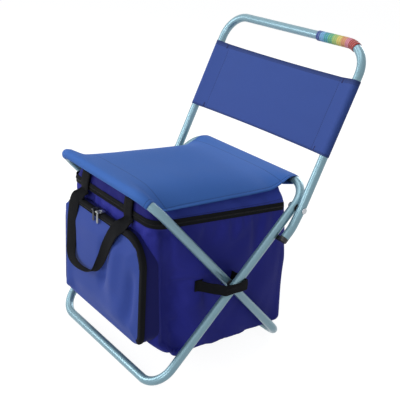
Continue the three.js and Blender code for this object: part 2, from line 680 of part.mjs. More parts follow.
function pocketShell() {
  const ring = (out, depth) => pocketOutline(out).map((p) => V(p.x, depth(p), p.y));
  const wall = (d) => [
    ring(-POCKET_EDGE - d, () => POCKET_FRONT + d),
    ring(-POCKET_EDGE / 4 - d, () => POCKET_FRONT + POCKET_EDGE / 4 + d),
    ring(-d, () => POCKET_FRONT + POCKET_EDGE + d), ring(-d, (p) => bagFace(p.x, p.y) - POCKET_STAND),
  ];
  return skin([...wall(0), ...wall(BAG_SHELL).reverse()]);
}

// A strip folded over the pocket's front edge between two points of its outline.
const STRIP_FRONT = POCKET_FRONT - CLEAR - ZIP_THICK;
function pocketStrip(first, last) {
  const edge = (out, y) => pocketOutline(out).slice(first, last + 1).map((p) => V(p.x, y, p.y));
  const [near, far] = [CLEAR, CLEAR + ZIP_THICK];
  const [inward, back] = [-POCKET_ZIP_WIDTH, STRIP_FRONT + POCKET_ZIP_WIDTH];
  const edges = [
    edge(inward, STRIP_FRONT), edge(near - ZIP_THICK / 2, STRIP_FRONT),
    edge(far, POCKET_FRONT + ZIP_THICK / 2), edge(far, back), edge(near, back),
    edge(near, POCKET_FRONT + near), edge(0, POCKET_FRONT - near), edge(inward, POCKET_FRONT - near),
  ];
  const bend = [1, 2, 6];
  return skin(edges[0].map((_, i) => edges.map((line) => line[i])), bend);
}

function addPocket() {
  const corner = POCKET_CORNER_STEPS + 1;
  addPiece('pocket_shell', pocketShell(), BAG_BLUE);
  addPiece('pocket_zip', pocketStrip(corner + 1, 3 * corner), WEBBING);
  addPiece('pocket_binding_left', pocketStrip(0, corner), WEBBING);
  addPiece('pocket_binding_right', pocketStrip(3 * corner + 1, 4 * corner + 1), WEBBING);
}

// A slider that runs along X over a strip of the given width, which ends at Y zero, with a pin in two cheeks.
const PIN_REACH = CHEEK_REACH - BAIL_PIN_D;
function slider(width) {
  const body = new THREE.BoxGeometry(SLIDER_LENGTH, width + 2 * SLIDER_LIP, SLIDER_THICK);
  body.translate(0, width / 2, SLIDER_THICK / 2);
  const apart = PULL_WIDTH / 2 + CLEAR + CHEEK_THICK / 2;
  const cheeks = [-apart, apart].map((x) => {
    const cheek = new THREE.BoxGeometry(CHEEK_THICK, CHEEK_REACH + SLIDER_LIP, SLIDER_THICK);
    return cheek.translate(x, -(CHEEK_REACH + SLIDER_LIP) / 2, SLIDER_THICK / 2);
  });
  const pin = new THREE.CylinderGeometry(BAIL_PIN_D / 2, BAIL_PIN_D / 2, 2 * apart, TUBE_SIDES);
  pin.rotateZ(PI / 2).translate(0, -SLIDER_LIP - PIN_REACH, SLIDER_THICK / 2);
  return joined(body, ...cheeks, pin);
}

// A pull tab that hangs down from its eye at the origin.
function pull() {
  const round = (radius, length) =>
    new THREE.CylinderGeometry(radius, radius, length, TUBE_SIDES).rotateZ(PI / 2);
  const eye = round(PULL_EYE_D / 2, PULL_WIDTH);
  const tab = new THREE.BoxGeometry(PULL_WIDTH, PULL_THICK, PULL_LENGTH).translate(0, 0, -PULL_LENGTH / 2);
  return cut(joined(eye, tab), round(BAIL_PIN_D / 2 + CLEAR, PULL_WIDTH + OVERRUN));
}

function addSliders() {
  const top = POCKET_TOP + 2 * CLEAR + ZIP_THICK;
  POCKET_SLIDER_PLACES.forEach((x, i) => {
    addPiece(`pocket_slider_${SIDES[i][0]}`, moved(slider(POCKET_ZIP_WIDTH), at(x, STRIP_FRONT, top)), ZINC);
    const eye = at(x, STRIP_FRONT - SLIDER_LIP - PIN_REACH, top + SLIDER_THICK / 2);
    addPiece(`pocket_pull_${SIDES[i][0]}`, moved(pull(), eye), ZINC);
  });
  const out = BAG_HALF + 2 * CLEAR + ZIP_THICK;
  const mid = zipPlane(LID_SLIDER_PLACE);
  const slope = Math.atan2(rearBar.z - frontBar.z, rearBar.y - frontBar.y);
  const forward = new THREE.Matrix4().makeBasis(V(0, -1, 0), V(0, 0, 1), V(-1, 0, 0));
  const place = at(-out, LID_SLIDER_PLACE, mid).multiply(new THREE.Matrix4().makeRotationX(slope))
    .multiply(forward).multiply(at(0, -ZIP_HEIGHT / 2, 0));
  addPiece('lid_slider', moved(slider(ZIP_HEIGHT), place), ZINC);
  const pin = at(0, -SLIDER_LIP - PIN_REACH, SLIDER_THICK / 2);
  const hang = place.clone().multiply(pin).multiply(new THREE.Matrix4().makeRotationX(-PI / 2));
  addPiece('lid_pull', moved(pull(), hang), ZINC);
}

// Webbing

// A flat strap along stations of centre, width direction and twist about its run.
function ribbon(centres, twists, width, thickness) {
  return skin(centres.map((p, i) => {
    const [before, after] = [centres[Math.max(i - 1, 0)], centres[Math.min(i + 1, centres.length - 1)]];
    const run = after.clone().sub(before).normalize();
    const flat = run.clone().cross(V(0, 1, 0)).normalize();
    const wide = flat.clone().applyAxisAngle(run, twists[i]).multiplyScalar(width / 2);
    const thick = wide.clone().cross(run).normalize().multiplyScalar(thickness / 2);
    return [[1, 1], [-1, 1], [-1, -1], [1, -1]].map(([a, b]) =>
      p.clone().addScaledVector(wide, a).addScaledVector(thick, b));
  }));
}

// The handle hangs from its two sewn ends and is drawn to the left, edge on at its lowest point.
const HANDLE_ACROSS_SHARES =
  [-1, -1.02, -1.08, -1.16, -1.2, -1.14, -0.9, -0.55, -0.15, 0.2, 0.47, 0.7, 0.9, 0.95];
const HANDLE_DROP_SHARES = [0, 0.06, 0.15, 0.39, 0.7, 0.88, 0.985, 0.975, 0.85, 0.62, 0.37, 0.165, 0.07, 0];
const HANDLE_STAND_SHARES = [0, 0.6, 0.66, 0.68, 0.72, 0.86, 0.97, 1, 1, 0.9, 0.76, 0.7, 0.64, 0];
const HANDLE_TWIST_DEGREES = [0, 0, 0, 0, 5, 25, 60, 75, 70, 35, 10, 0, 0, 0];

function addHandle() {
  const top = POCKET_TOP + HANDLE_ABOVE_POCKET;
  const face = bagFace(0, top) - CLEAR - WEB_THICK;
  const centres = HANDLE_ACROSS_SHARES.map((share, i) => {
    const drop = HANDLE_DROP_SHARES[i] * HANDLE_HANG;
    return V(share * HANDLE_HALF, face - HANDLE_STAND_SHARES[i] * HANDLE_STAND, top - drop);
  });
  addPiece('carry_handle', ribbon(centres, HANDLE_TWIST_DEGREES.map(rad), WEB_WIDTH, WEB_THICK), WEBBING);
}

// A strap sewn to the bag's side and looped round both legs where they cross.
function addPivotStraps() {
  const inner = BAG_HALF + CLEAR;
  const outer = REAR_HALF + TUBE_TIP + RIVET_HEAD + 2 * CLEAR;
  const reach = STRAP_WIDTH / 2 / tan(REAR_LEAN) + TUBE_TIP / sin(REAR_LEAN) + CLEAR;
  const t = STRAP_THICK;
  const end = STRAP_ANCHOR + STRAP_TAIL;
  const rim = [[inner, -end], [inner + 2 * t, -end], [inner + 2 * t, -STRAP_ANCHOR], [outer + t, -reach - t],
    [outer + t, reach], [outer, reach + t], [inner, reach + t]];
  const hole = [[inner + t, t - STRAP_ANCHOR], [outer, -reach], [outer, reach], [inner + t, reach]];
  const points = (list) => list.map(([x, y]) => new THREE.Vector2(x, y));
  const shape = new THREE.Shape(points(rim));
  shape.holes.push(new THREE.Path(points(hole)));
  const strap = new THREE.ExtrudeGeometry(shape, { depth: STRAP_WIDTH, bevelEnabled: false });
  strap.translate(0, 0, -STRAP_WIDTH / 2);
  for (const [side, sign] of SIDES) {
    addPiece(`pivot_strap_${side}`, moved(strap, at(...PIVOT).multiply(mirrorX(sign))), WEBBING);
  }
}

addFrames();
addRivets();
addHoop();
addStops();
addBackrestPanel();
addGrip();
addSeat();
addBag();
addPocket();
addSliders();
addHandle();
addPivotStraps();

// The origin is the middle of the stool's box, on the floor.
const box = new THREE.Box3().setFromObject(stool);
stool.position.set(0, -(box.min.y + box.max.y) / 2, -box.min.z);

export default root;
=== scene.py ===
# %% [markdown]
# # A folding cooler stool
# Two crossed steel loops carry a cloth seat, a hoop backrest stands behind it and a soft insulated bag hangs inside.
# The CAD model fixes every size and every hinge. This lesson builds what the eye sees around it: round painted
# tube, sewn cloth, webbing, zips and rivets. We work in metres, and each piece is placed where the CAD has it.

# %% Load the frame
import json
from math import acos, asin, atan2, ceil, cos, degrees, exp, pi, radians, sin, sqrt, tan
import bmesh
import bpy
from mathutils import Matrix, Quaternion, Vector, noise

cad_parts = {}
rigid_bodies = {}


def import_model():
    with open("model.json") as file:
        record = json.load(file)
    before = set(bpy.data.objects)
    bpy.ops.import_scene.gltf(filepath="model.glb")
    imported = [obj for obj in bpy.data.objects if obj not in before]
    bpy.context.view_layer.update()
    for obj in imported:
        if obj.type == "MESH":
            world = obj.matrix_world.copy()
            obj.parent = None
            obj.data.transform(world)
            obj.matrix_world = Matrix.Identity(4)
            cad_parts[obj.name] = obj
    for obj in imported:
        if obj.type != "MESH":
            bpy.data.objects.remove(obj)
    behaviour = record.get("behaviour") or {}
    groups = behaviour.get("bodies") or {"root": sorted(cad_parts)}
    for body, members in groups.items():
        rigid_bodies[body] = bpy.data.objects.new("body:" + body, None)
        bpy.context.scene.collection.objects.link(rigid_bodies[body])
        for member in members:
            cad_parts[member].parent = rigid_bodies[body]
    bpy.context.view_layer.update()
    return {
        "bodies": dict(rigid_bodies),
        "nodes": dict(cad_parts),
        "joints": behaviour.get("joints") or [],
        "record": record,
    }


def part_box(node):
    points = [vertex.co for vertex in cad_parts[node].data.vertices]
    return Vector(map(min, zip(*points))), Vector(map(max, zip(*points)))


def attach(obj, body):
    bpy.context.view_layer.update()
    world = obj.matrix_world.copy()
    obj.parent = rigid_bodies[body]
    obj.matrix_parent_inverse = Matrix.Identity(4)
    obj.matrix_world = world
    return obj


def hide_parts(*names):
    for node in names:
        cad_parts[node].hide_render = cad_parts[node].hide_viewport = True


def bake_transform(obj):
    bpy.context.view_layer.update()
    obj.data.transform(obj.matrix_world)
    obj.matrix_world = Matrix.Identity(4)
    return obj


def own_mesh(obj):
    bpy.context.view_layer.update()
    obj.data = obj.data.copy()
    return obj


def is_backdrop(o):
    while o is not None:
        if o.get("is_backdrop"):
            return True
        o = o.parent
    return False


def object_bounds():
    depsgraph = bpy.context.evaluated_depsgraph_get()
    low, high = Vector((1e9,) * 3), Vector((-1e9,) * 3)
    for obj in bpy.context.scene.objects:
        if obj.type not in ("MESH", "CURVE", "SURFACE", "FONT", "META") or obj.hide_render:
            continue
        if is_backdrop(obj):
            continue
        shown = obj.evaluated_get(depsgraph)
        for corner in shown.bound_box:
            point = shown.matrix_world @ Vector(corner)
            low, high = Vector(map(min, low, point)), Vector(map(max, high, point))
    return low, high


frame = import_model()

# %% [markdown]
# ## Camera and studio
# The photograph was taken from the stool's front right corner, a little above it, with a long lens. Three numbers
# give such a camera: where it stands, which way it looks, and how far it is rolled about its own line of sight.
# We turn them into a rotation with a track quaternion, so that nothing has to be aimed by hand.

# %% Camera
EYE = Vector((1.0619, -0.8134, 0.7992))
LOOK = Vector((-0.73141, 0.57098, -0.37285))
ROLL = 3.57
SENSOR, FOCAL = 36, 763.8 / 400  # the sensor's width in mm, and the focal length in widths of the picture


def add_object(name, data):
    made = bpy.data.objects.new(name, data)
    bpy.context.scene.collection.objects.link(made)
    return made


camera = add_object("camera", bpy.data.cameras.new("camera"))
camera.data.sensor_width, camera.data.lens = SENSOR, SENSOR * FOCAL
camera.location = EYE
camera.rotation_mode = "QUATERNION"
camera.rotation_quaternion = LOOK.to_track_quat("-Z", "Y") @ Quaternion((0, 0, 1), radians(ROLL))
bpy.context.scene.camera = camera
print("lens", round(camera.data.lens, 1), "mm")

# %% [markdown]
# Nodes are easiest to read when one helper adds them. It takes the kind of node, the values or links for its
# inputs in order, and any settings by name, so that a material becomes a few short lines.

# %% Node helper
def put(tree, kind, *values, **settings):
    made = tree.nodes.new("ShaderNode" + kind)
    for key, value in settings.items():
        setattr(made, key, value)
    for socket, value in zip(made.inputs, values):
        connect(tree, socket, value)
    return made


def connect(tree, socket, value):
    if isinstance(value, bpy.types.NodeSocket):
        tree.links.new(value, socket)
    elif value is not None:
        socket.default_value = value


def maths(tree, operation, *values):
    return put(tree, "Math", *values, operation=operation).outputs[0]


def paint(red, green, blue):
    """A colour as it looks on a screen, 0 to 255, in the linear values that shaders work with."""
    shares = (red / 255, green / 255, blue / 255)
    return (*(s / 12.92 if s <= 0.04045 else ((s + 0.055) / 1.055) ** 2.4 for s in shares), 1.0)

# %% [markdown]
# The studio is a white room. The world and the floor are plain white to the camera and to reflections, while the
# light that falls on the stool stays at the level at which a colour renders as it is written. Light Path tells
# these kinds of ray apart, so the white never comes from extra light.

# %% World
AMBIENT, AMBIENT_TINT = 0.24, (0.9, 0.94, 1.0, 1)
WHITE = (1, 1, 1, 1)


def seen_directly(tree):
    path = put(tree, "LightPath")
    either = maths(tree, "MAXIMUM", path.outputs["Is Camera Ray"], path.outputs["Is Glossy Ray"])
    return maths(tree, "MAXIMUM", either, path.outputs["Is Transmission Ray"])


studio = bpy.data.worlds.new("studio")
bpy.context.scene.world = studio
studio.use_nodes = True
tree = studio.node_tree
tree.nodes.clear()
ambient, backdrop = put(tree, "Background", AMBIENT_TINT, AMBIENT), put(tree, "Background", WHITE, 1.0)
mixed = put(tree, "MixShader", seen_directly(tree), ambient.outputs[0], backdrop.outputs[0])
put(tree, "OutputWorld", mixed.outputs[0])
bpy.context.scene.view_settings.view_transform = "Standard"
print("world light", AMBIENT)

# %% Floor
FLOOR_TONE, FLOOR_TONE_SEEN, FLOOR_GLOW, FLOOR_SIZE = 0.5, 0.22, 0.94, 6


def blank_material(name):
    material = bpy.data.materials.new(name)
    material.use_nodes = True
    material.node_tree.nodes.clear()
    return material, material.node_tree


white_floor, tree = blank_material("white_floor")
seen = seen_directly(tree)
card = put(tree, "BsdfDiffuse", maths(tree, "MULTIPLY_ADD", seen, FLOOR_TONE_SEEN - FLOOR_TONE, FLOOR_TONE))
glow = put(tree, "Emission", WHITE, maths(tree, "MULTIPLY", seen, FLOOR_GLOW))
put(tree, "OutputMaterial", put(tree, "AddShader", card.outputs[0], glow.outputs[0]).outputs[0])

bm = bmesh.new()
bmesh.ops.create_grid(bm, x_segments=1, y_segments=1, size=FLOOR_SIZE)
floor_mesh = bpy.data.meshes.new("floor")
bm.to_mesh(floor_mesh)
bm.free()
floor_mesh.materials.append(white_floor)
floor = add_object("floor", floor_mesh)
floor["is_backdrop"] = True
print("floor", tuple(round(x, 1) for x in floor.dimensions))

# %% [markdown]
# Four soft boxes light the stool: a wide one overhead, two before its front and one behind it. None stands on its
# right, so that the bag's side stays dark as in the photograph. A box's power grows with the square of its
# distance, so each is written as the share of full daylight that it gives.

# %% Lamps
AIM = Vector((0, 0, 0.3))


def soft_box(name, place, size, share, tint=(1, 1, 1)):
    sight = AIM - Vector(place)
    lamp = bpy.data.lights.new(name, "AREA")
    lamp.energy, lamp.size, lamp.color = share * (pi * sight.length) ** 2, size, tint
    box = add_object(name, lamp)
    box.location, box.rotation_euler = place, sight.to_track_quat("-Z", "Y").to_euler()
    print(name, round(lamp.energy, 1), "W")


soft_box("overhead_box", (-0.3, -0.5, 2.6), 1.8, 0.36)
soft_box("left_front_box", (-1.7, -2.2, 1.3), 1.2, 0.34)
soft_box("front_box", (0.95, -2.6, 1.0), 1.0, 0.25)
soft_box("back_box", (-0.9, 2.6, 1.3), 1.4, 0.34, (0.94, 0.96, 1.0))

# %% [markdown]
# ## Measures
# The stool's geometry follows from few points. The two loops turn about the pivot rivets, and the backrest about
# the knee rivets, so we read both centres from the CAD nodes. Every loop then needs only its half width and how
# far it reaches from the pivot along its legs.

# %% Points and directions
def centre_of(node):
    low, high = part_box(node)
    return (low + high) / 2


TUBE = 0.008
SLEEVE = TUBE + 0.0009  # the radius of cloth wrapped round a tube
SIDES = (("left", -1), ("right", 1))
PIVOT = Vector((0, *centre_of("pivot_rivet_right")[1:]))
KNEE = Vector((0, *centre_of("backrest_rivet_right")[1:]))
REAR_HALF, FRONT_HALF, HOOP_HALF = 0.171, 0.151935, 0.189265
REAR_BAR, REAR_FOOT, FRONT_BAR, FRONT_FOOT = 0.2246, 0.2223, 0.2492, 0.2154
REAR_LEAN = asin((PIVOT.z - TUBE) / REAR_FOOT)
FRONT_LEAN = asin((PIVOT.z - TUBE) / FRONT_FOOT)
LEG_LEAN, HOOP_LEAN, SHIN_TURN = pi / 2 - REAR_LEAN, radians(24), radians(15.4)
SHIN, TOE, HOOP_HIGH = 0.038, 0.02, 0.5684
FRAME_BEND, HOOP_BEND, KNEE_BEND = 0.044, 0.05, 0.06


def on_rear(x, reach):
    return PIVOT + Vector((x, reach * cos(REAR_LEAN), reach * sin(REAR_LEAN)))


def on_front(x, reach):
    return PIVOT + Vector((x, -reach * cos(FRONT_LEAN), reach * sin(FRONT_LEAN)))


def beyond(start, reach, lean):
    return start + Vector((0, reach * sin(lean), reach * cos(lean)))


rear_bar, front_bar = on_rear(0, REAR_BAR), on_front(0, FRONT_BAR)
shin_end = beyond(KNEE, -SHIN, LEG_LEAN - SHIN_TURN)
toe_end = beyond(shin_end, -TOE, LEG_LEAN)
ARM = (HOOP_HIGH - KNEE.z) / cos(HOOP_LEAN)
hoop_top = beyond(KNEE, ARM, HOOP_LEAN)
print("pivot", PIVOT[:], "legs lean", round(degrees(REAR_LEAN), 1), round(degrees(FRONT_LEAN), 1))

# %% [markdown]
# ## Shared shader groups
# Cloth, webbing and tape are all woven, and most pieces have a row of stitches, so both effects are node groups.
# A group has named inputs and outputs and is built once. Each material then places it with its own values. The
# groups give out only masks and heights, and the Principled shader stays in each material.

# %% Group helper
def shader_group(name, inputs, outputs):
    group = bpy.data.node_groups.new(name, "ShaderNodeTree")
    for label, kind, value in inputs:
        socket = group.interface.new_socket(label, in_out="INPUT", socket_type="NodeSocket" + kind)
        if value is not None:
            socket.default_value = value
    for label in outputs:
        group.interface.new_socket(label, in_out="OUTPUT", socket_type="NodeSocketFloat")
    return group, group.nodes.new("NodeGroupInput"), group.nodes.new("NodeGroupOutput")


def use_group(tree, group, **values):
    made = tree.nodes.new("ShaderNodeGroup")
    made.node_tree = group
    for key, value in values.items():
        connect(tree, made.inputs[key], value)
    return made

# %% [markdown]
# A plain weave is two sets of threads that pass over each other by turns. Two sine waves at right angles, the one
# or the other on top from cell to cell, give its height. The pitch is the distance between threads in metres.

# %% Weave group
weave, given, result = shader_group(
    "weave", [("Across", "Float", 0.0), ("Along", "Float", 0.0), ("Pitch", "Float", 0.0008)], ["Height"])
turns = maths(weave, "DIVIDE", pi, given.outputs["Pitch"])
warp = maths(weave, "SINE", maths(weave, "MULTIPLY", given.outputs["Across"], turns))
weft = maths(weave, "SINE", maths(weave, "MULTIPLY", given.outputs["Along"], turns))
lift = maths(weave, "MULTIPLY", warp, weft)
thick = maths(weave, "ADD", maths(weave, "ABSOLUTE", warp), maths(weave, "ABSOLUTE", weft))
height = maths(weave, "MULTIPLY_ADD", maths(weave, "ABSOLUTE", lift), 0.6, maths(weave, "MULTIPLY", thick, 0.2))
weave.links.new(height, result.inputs["Height"])

# %% [markdown]
# A row of stitches is a dashed line. Across is the distance from the seam, along the distance down it. The thread
# stands a little proud of a shallow furrow that it pulls into the cloth, and both come out as one height.

# %% Stitch group
stitches, given, result = shader_group(
    "stitches", [("Across", "Float", 0.0), ("Along", "Float", 0.0), ("Length", "Float", 0.0035),
                 ("Width", "Float", 0.0005)], ["Thread", "Height"])
away = maths(stitches, "ABSOLUTE", given.outputs["Across"])
near = maths(stitches, "LESS_THAN", away, given.outputs["Width"])
beat = maths(stitches, "FRACT", maths(stitches, "DIVIDE", given.outputs["Along"], given.outputs["Length"]))
dash = maths(stitches, "LESS_THAN", beat, 0.72)
thread = maths(stitches, "MULTIPLY", near, dash)
reach = maths(stitches, "MULTIPLY", given.outputs["Width"], 5.0)
furrow = put(stitches, "MapRange", away, 0.0, reach, -1.0, 0.0, interpolation_type="SMOOTHSTEP").outputs[0]
stitches.links.new(thread, result.inputs["Thread"])
stitches.links.new(maths(stitches, "ADD", furrow, thread), result.inputs["Height"])

# %% [markdown]
# Nothing used out of doors keeps one even tone. The handling group mixes a broad and a fine noise into one value
# round 1, which multiplies a colour or a roughness. It reads Object coordinates, so it stays on the piece.

# %% Handling group
handling, given, result = shader_group("handling", [("Size", "Float", 20.0), ("Amount", "Float", 0.1)], ["Value"])
spot = put(handling, "TexCoord").outputs["Object"]
broad = put(handling, "TexNoise", spot, None, given.outputs["Size"], 3.0)
fine = put(handling, "TexNoise", spot, None, maths(handling, "MULTIPLY", given.outputs["Size"], 12.0), 2.0)
both = maths(handling, "MULTIPLY_ADD", fine.outputs[0], 0.35, maths(handling, "MULTIPLY", broad.outputs[0], 0.65))
spread = maths(handling, "MULTIPLY", maths(handling, "SUBTRACT", both, 0.5), given.outputs["Amount"])
handling.links.new(maths(handling, "ADD", maths(handling, "MULTIPLY", spread, 2.0), 1.0), result.inputs["Value"])
print("groups:", [g.name for g in bpy.data.node_groups])

# %% [markdown]
# ## Painted steel
# The tubes are powder coated in a pale grey blue: a thin even gloss over a faintly pebbled ground with a little
# metal in it. A fine noise bump gives the pebbles. Every material ends in a bump and a Principled shader, so one
# helper makes both.

# %% Finish helper
def tone(tree, colour, factor):
    """The colour times a factor that changes over the surface."""
    return put(tree, "VectorMath", colour[:3], factor, operation="MULTIPLY").outputs[0]


def complete(tree, looks, height, strength, distance):
    """The last nodes of a material: looks holds a value or a link for each input, height becomes the bump."""
    relief, shader = put(tree, "Bump"), put(tree, "BsdfPrincipled")
    for node, values in ((relief, {"Strength": strength, "Distance": distance, "Height": height}),
                         (shader, {**looks, "Normal": relief.outputs[0]})):
        for key, value in values.items():
            connect(tree, node.inputs[key], value)
    put(tree, "OutputMaterial", shader.outputs[0])


def hard_finish(name, colour, roughness, metallic=0.0, coat=0.0, size=25.0, amount=0.05, grain=900.0, bump=0.08):
    material, tree = blank_material(name)
    handled = use_group(tree, handling, Size=size, Amount=amount).outputs[0]
    pebbles = put(tree, "TexNoise", put(tree, "TexCoord").outputs["Object"], None, grain, 2.0).outputs[0]
    looks = {"Base Color": tone(tree, colour, handled), "Roughness": maths(tree, "MULTIPLY", handled, roughness),
             "Metallic": metallic, "Coat Weight": coat, "Coat Roughness": 0.12}
    complete(tree, looks, pebbles, bump, 0.0002)
    return material


painted_tube = hard_finish("painted_tube", paint(127, 163, 176), 0.34, metallic=0.4, coat=0.25, amount=0.1)
zinc = hard_finish("zinc", paint(186, 190, 194), 0.3, metallic=0.9, size=120, amount=0.12)
dark_zinc = hard_finish("dark_zinc", paint(62, 64, 70), 0.34, metallic=0.85, size=120, amount=0.12)
pull_zinc = hard_finish("pull_zinc", paint(150, 152, 150), 0.5, metallic=0.6, size=120, amount=0.12)
black_nylon = hard_finish("black_nylon", paint(24, 25, 28), 0.48, grain=1500.0)

# %% [markdown]
# ## Cloth
# Seat, backrest and bag are coated polyester. Each gets its threads and seams from its own UV map, which holds
# metres of flat cloth. That way the weave keeps one scale, and a seam is simply a line at a known distance.

# %% Cloth finish
def cloth_place(tree):
    """Across and along the flat cloth, in metres."""
    flat = put(tree, "SeparateXYZ", put(tree, "UVMap", uv_map="cloth").outputs[0])
    return flat.outputs[0], flat.outputs[1]


def laid_over(tree, share, ground, over):
    """The colour over laid on the ground by a share from 0 to 1."""
    mixed = put(tree, "Mix", data_type="RGBA")
    for socket, value in ((0, share), (6, ground), (7, over)):
        connect(tree, mixed.inputs[socket], value)
    return mixed.outputs[2]


def hem_shade(tree, v, low, high):
    """A colour factor below 1 in the last few millimetres before each hem: painted shade where the folded edge rolls
    over.
    """
    edge = maths(tree, "MINIMUM", maths(tree, "SUBTRACT", v, low), maths(tree, "SUBTRACT", high, v))
    return put(tree, "MapRange", edge, 0.002, 0.010, 0.5, 1.0, interpolation_type="SMOOTHSTEP").outputs[0]


def cloth_finish(name, colour, seams=(), roughness=0.72, sheen=0.25, specular=0.3, amount=0.07, stitch=0.0005,
                 hems=None):
    """Each seam is (direction, distance): direction 0 is a line at that u, 1 a line at that v."""
    material, tree = blank_material(name)
    u, v = cloth_place(tree)
    woven = use_group(tree, weave, Across=u, Along=v, Pitch=0.0009).outputs[0]
    height, shown = maths(tree, "MULTIPLY", woven, 0.3), None
    for direction, place in seams:
        across, along = (u, v) if direction == 0 else (v, u)
        row = use_group(tree, stitches, Across=maths(tree, "SUBTRACT", across, place), Along=along, Width=stitch)
        height = maths(tree, "ADD", height, row.outputs["Height"])
        shown = row.outputs["Thread"] if shown is None else maths(tree, "MAXIMUM", shown, row.outputs["Thread"])
    handled = use_group(tree, handling, Size=14.0, Amount=amount).outputs[0]
    shade = handled if hems is None else maths(tree, "MULTIPLY", handled, hem_shade(tree, v, *hems))
    ground = tone(tree, colour, shade)
    if shown is not None:
        ground = laid_over(tree, shown, ground, (*(c * 0.55 for c in colour[:3]), 1.0))
    looks = {"Base Color": ground, "Roughness": maths(tree, "MULTIPLY", handled, roughness), "Sheen Weight": sheen,
             "Sheen Roughness": 0.45, "Specular IOR Level": specular}
    complete(tree, looks, height, 0.35, 0.0005)
    return material

# %% [markdown]
# ## Modelling helpers
# Every new piece ends the same way: its mesh becomes an object at the origin with its materials, smooth faces and
# sharp edges where it turns hard. Then it rides on its body and hides the CAD nodes it stands for. A piece of
# cloth also gets a wall, the thickness that Solidify gives it.

# %% Make a piece
def make_piece(name, bm, materials, body, replaced=(), sharp=40, merge=1e-6, wall=None):
    bmesh.ops.remove_doubles(bm, verts=bm.verts, dist=merge)
    bmesh.ops.recalc_face_normals(bm, faces=bm.faces)
    for face in bm.faces:
        face.smooth = True
    for edge in bm.edges:
        if len(edge.link_faces) == 2 and edge.calc_face_angle(0) > radians(sharp):
            edge.smooth = False
    mesh = bpy.data.meshes.new(name)
    bm.to_mesh(mesh)
    bm.free()
    for material in materials if isinstance(materials, list) else [materials]:
        mesh.materials.append(material)
    piece = add_object(name, mesh)
    if body:
        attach(piece, body)
    if replaced:
        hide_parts(*replaced)
    if wall:
        solid = piece.modifiers.new("wall", "SOLIDIFY")
        solid.thickness, solid.offset = wall
    print(f"{name}: {len(mesh.polygons)} faces")
    return piece


def fill_ends(bm):
    bmesh.ops.holes_fill(bm, edges=[edge for edge in bm.edges if edge.is_boundary], sides=0)

# %% [markdown]
# ## Tubes
# A bent tube is a circle drawn along straights and round bends. We start with a circle, extrude it down each
# straight and spin it round each bend's centre, just as a bending machine does. Sweeping a curve would also do,
# but the spin keeps every ring square to the tube.

# %% Bend a tube
TUBE_SIDES, QUARTER_STEPS = 28, 14


def of_kind(geometry, kind):
    return [part for part in geometry if isinstance(part, kind)]


def push(bm, ring, offset):
    made = bmesh.ops.extrude_edge_only(bm, edges=ring)["geom"]
    fresh = of_kind(made, bmesh.types.BMVert)
    bmesh.ops.translate(bm, verts=fresh, vec=offset)
    inside = set(fresh)
    return [edge for edge in of_kind(made, bmesh.types.BMEdge) if set(edge.verts) <= inside]


def bent_tube(corners, bends):
    bm = bmesh.new()
    here, heading = corners[0], (corners[1] - corners[0]).normalized()
    facing = Matrix.Translation(here) @ heading.to_track_quat("Z", "X").to_matrix().to_4x4()
    bmesh.ops.create_circle(bm, radius=TUBE, segments=TUBE_SIDES, matrix=facing)
    ring = bm.edges[:]
    for before, corner, after, bend in zip(corners, corners[1:], corners[2:], bends):
        into, out = (corner - before).normalized(), (after - corner).normalized()
        turn, axis = into.angle(out), into.cross(out).normalized()
        begin = corner - into * bend * tan(turn / 2)
        ring = push(bm, ring, begin - here)
        made = bmesh.ops.spin(bm, geom=ring, cent=begin + axis.cross(into) * bend, axis=axis, angle=turn,
                              steps=max(2, ceil(QUARTER_STEPS * turn / (pi / 2))), use_merge=False)
        ring = of_kind(made["geom_last"], bmesh.types.BMEdge)
        here = corner + out * bend * tan(turn / 2)
    push(bm, ring, corners[-1] - here)
    return bm

# %% [markdown]
# Each crossed loop is one closed ring of tube. Its joint lies under the seat's sleeve, where nobody sees it, so the
# last ring simply merges with the first.

# %% Loops
for name, on_loop, half, bar, foot in (("rear", on_rear, REAR_HALF, REAR_BAR, REAR_FOOT),
                                       ("front", on_front, FRONT_HALF, FRONT_BAR, FRONT_FOOT)):
    corners = [on_loop(x, reach) for x, reach in (
        (0, bar), (half, bar), (half, -foot), (-half, -foot), (-half, bar), (0, bar))]
    make_piece(f"{name}_loop", bent_tube(corners, [FRAME_BEND] * 4), painted_tube, f"{name}_frame",
               [f"{name}_seat_frame", f"{name}_loop_joiner"], merge=1e-4)

# %% [markdown]
# The backrest hoop runs from a foot behind one leg, over the knee rivet and up, across the top and down again. Its
# open feet take plugs, so we fill both end circles.

# %% Backrest hoop
def beside(point, sign):
    return Vector((sign * HOOP_HALF, *point.yz))


foot_to_top = (toe_end, shin_end, KNEE, hoop_top)
hoop_line = [beside(p, 1) for p in foot_to_top] + [beside(p, -1) for p in reversed(foot_to_top)]
bm = bent_tube(hoop_line, [KNEE_BEND, KNEE_BEND, HOOP_BEND, HOOP_BEND, KNEE_BEND, KNEE_BEND])
fill_ends(bm)
make_piece("hoop", bm, painted_tube, "backrest", ["backrest_hoop"])

# %% [markdown]
# ## Rivets, washers and plugs
# All of these are turned parts: a half profile spun once round its axis. A spin with use_merge closes the last
# step onto the first. The rivet's head is a low dome, and the washer has softened rims.

# %% Turn a profile
def turned(bm, profile, centre, axis, steps=28, closed=False):
    side = axis.orthogonal().normalized()
    points = [bm.verts.new(centre + side * radius + axis * along) for radius, along in profile]
    pairs = list(zip(points, points[1:])) + ([(points[-1], points[0])] if closed else [])
    edges = [bm.edges.new(pair) for pair in pairs]
    bmesh.ops.spin(bm, geom=points + edges, cent=centre, axis=axis, angle=2 * pi, steps=steps, use_merge=True)
    return bm


def dome(radius, height, base, sign, rings=5):
    """The profile of a low dome from its rim to its pole."""
    angles = [pi / 2 * k / rings for k in range(rings + 1)]
    return [(radius * cos(a), base + sign * height * (0.25 + 0.75 * sin(a))) for a in angles]


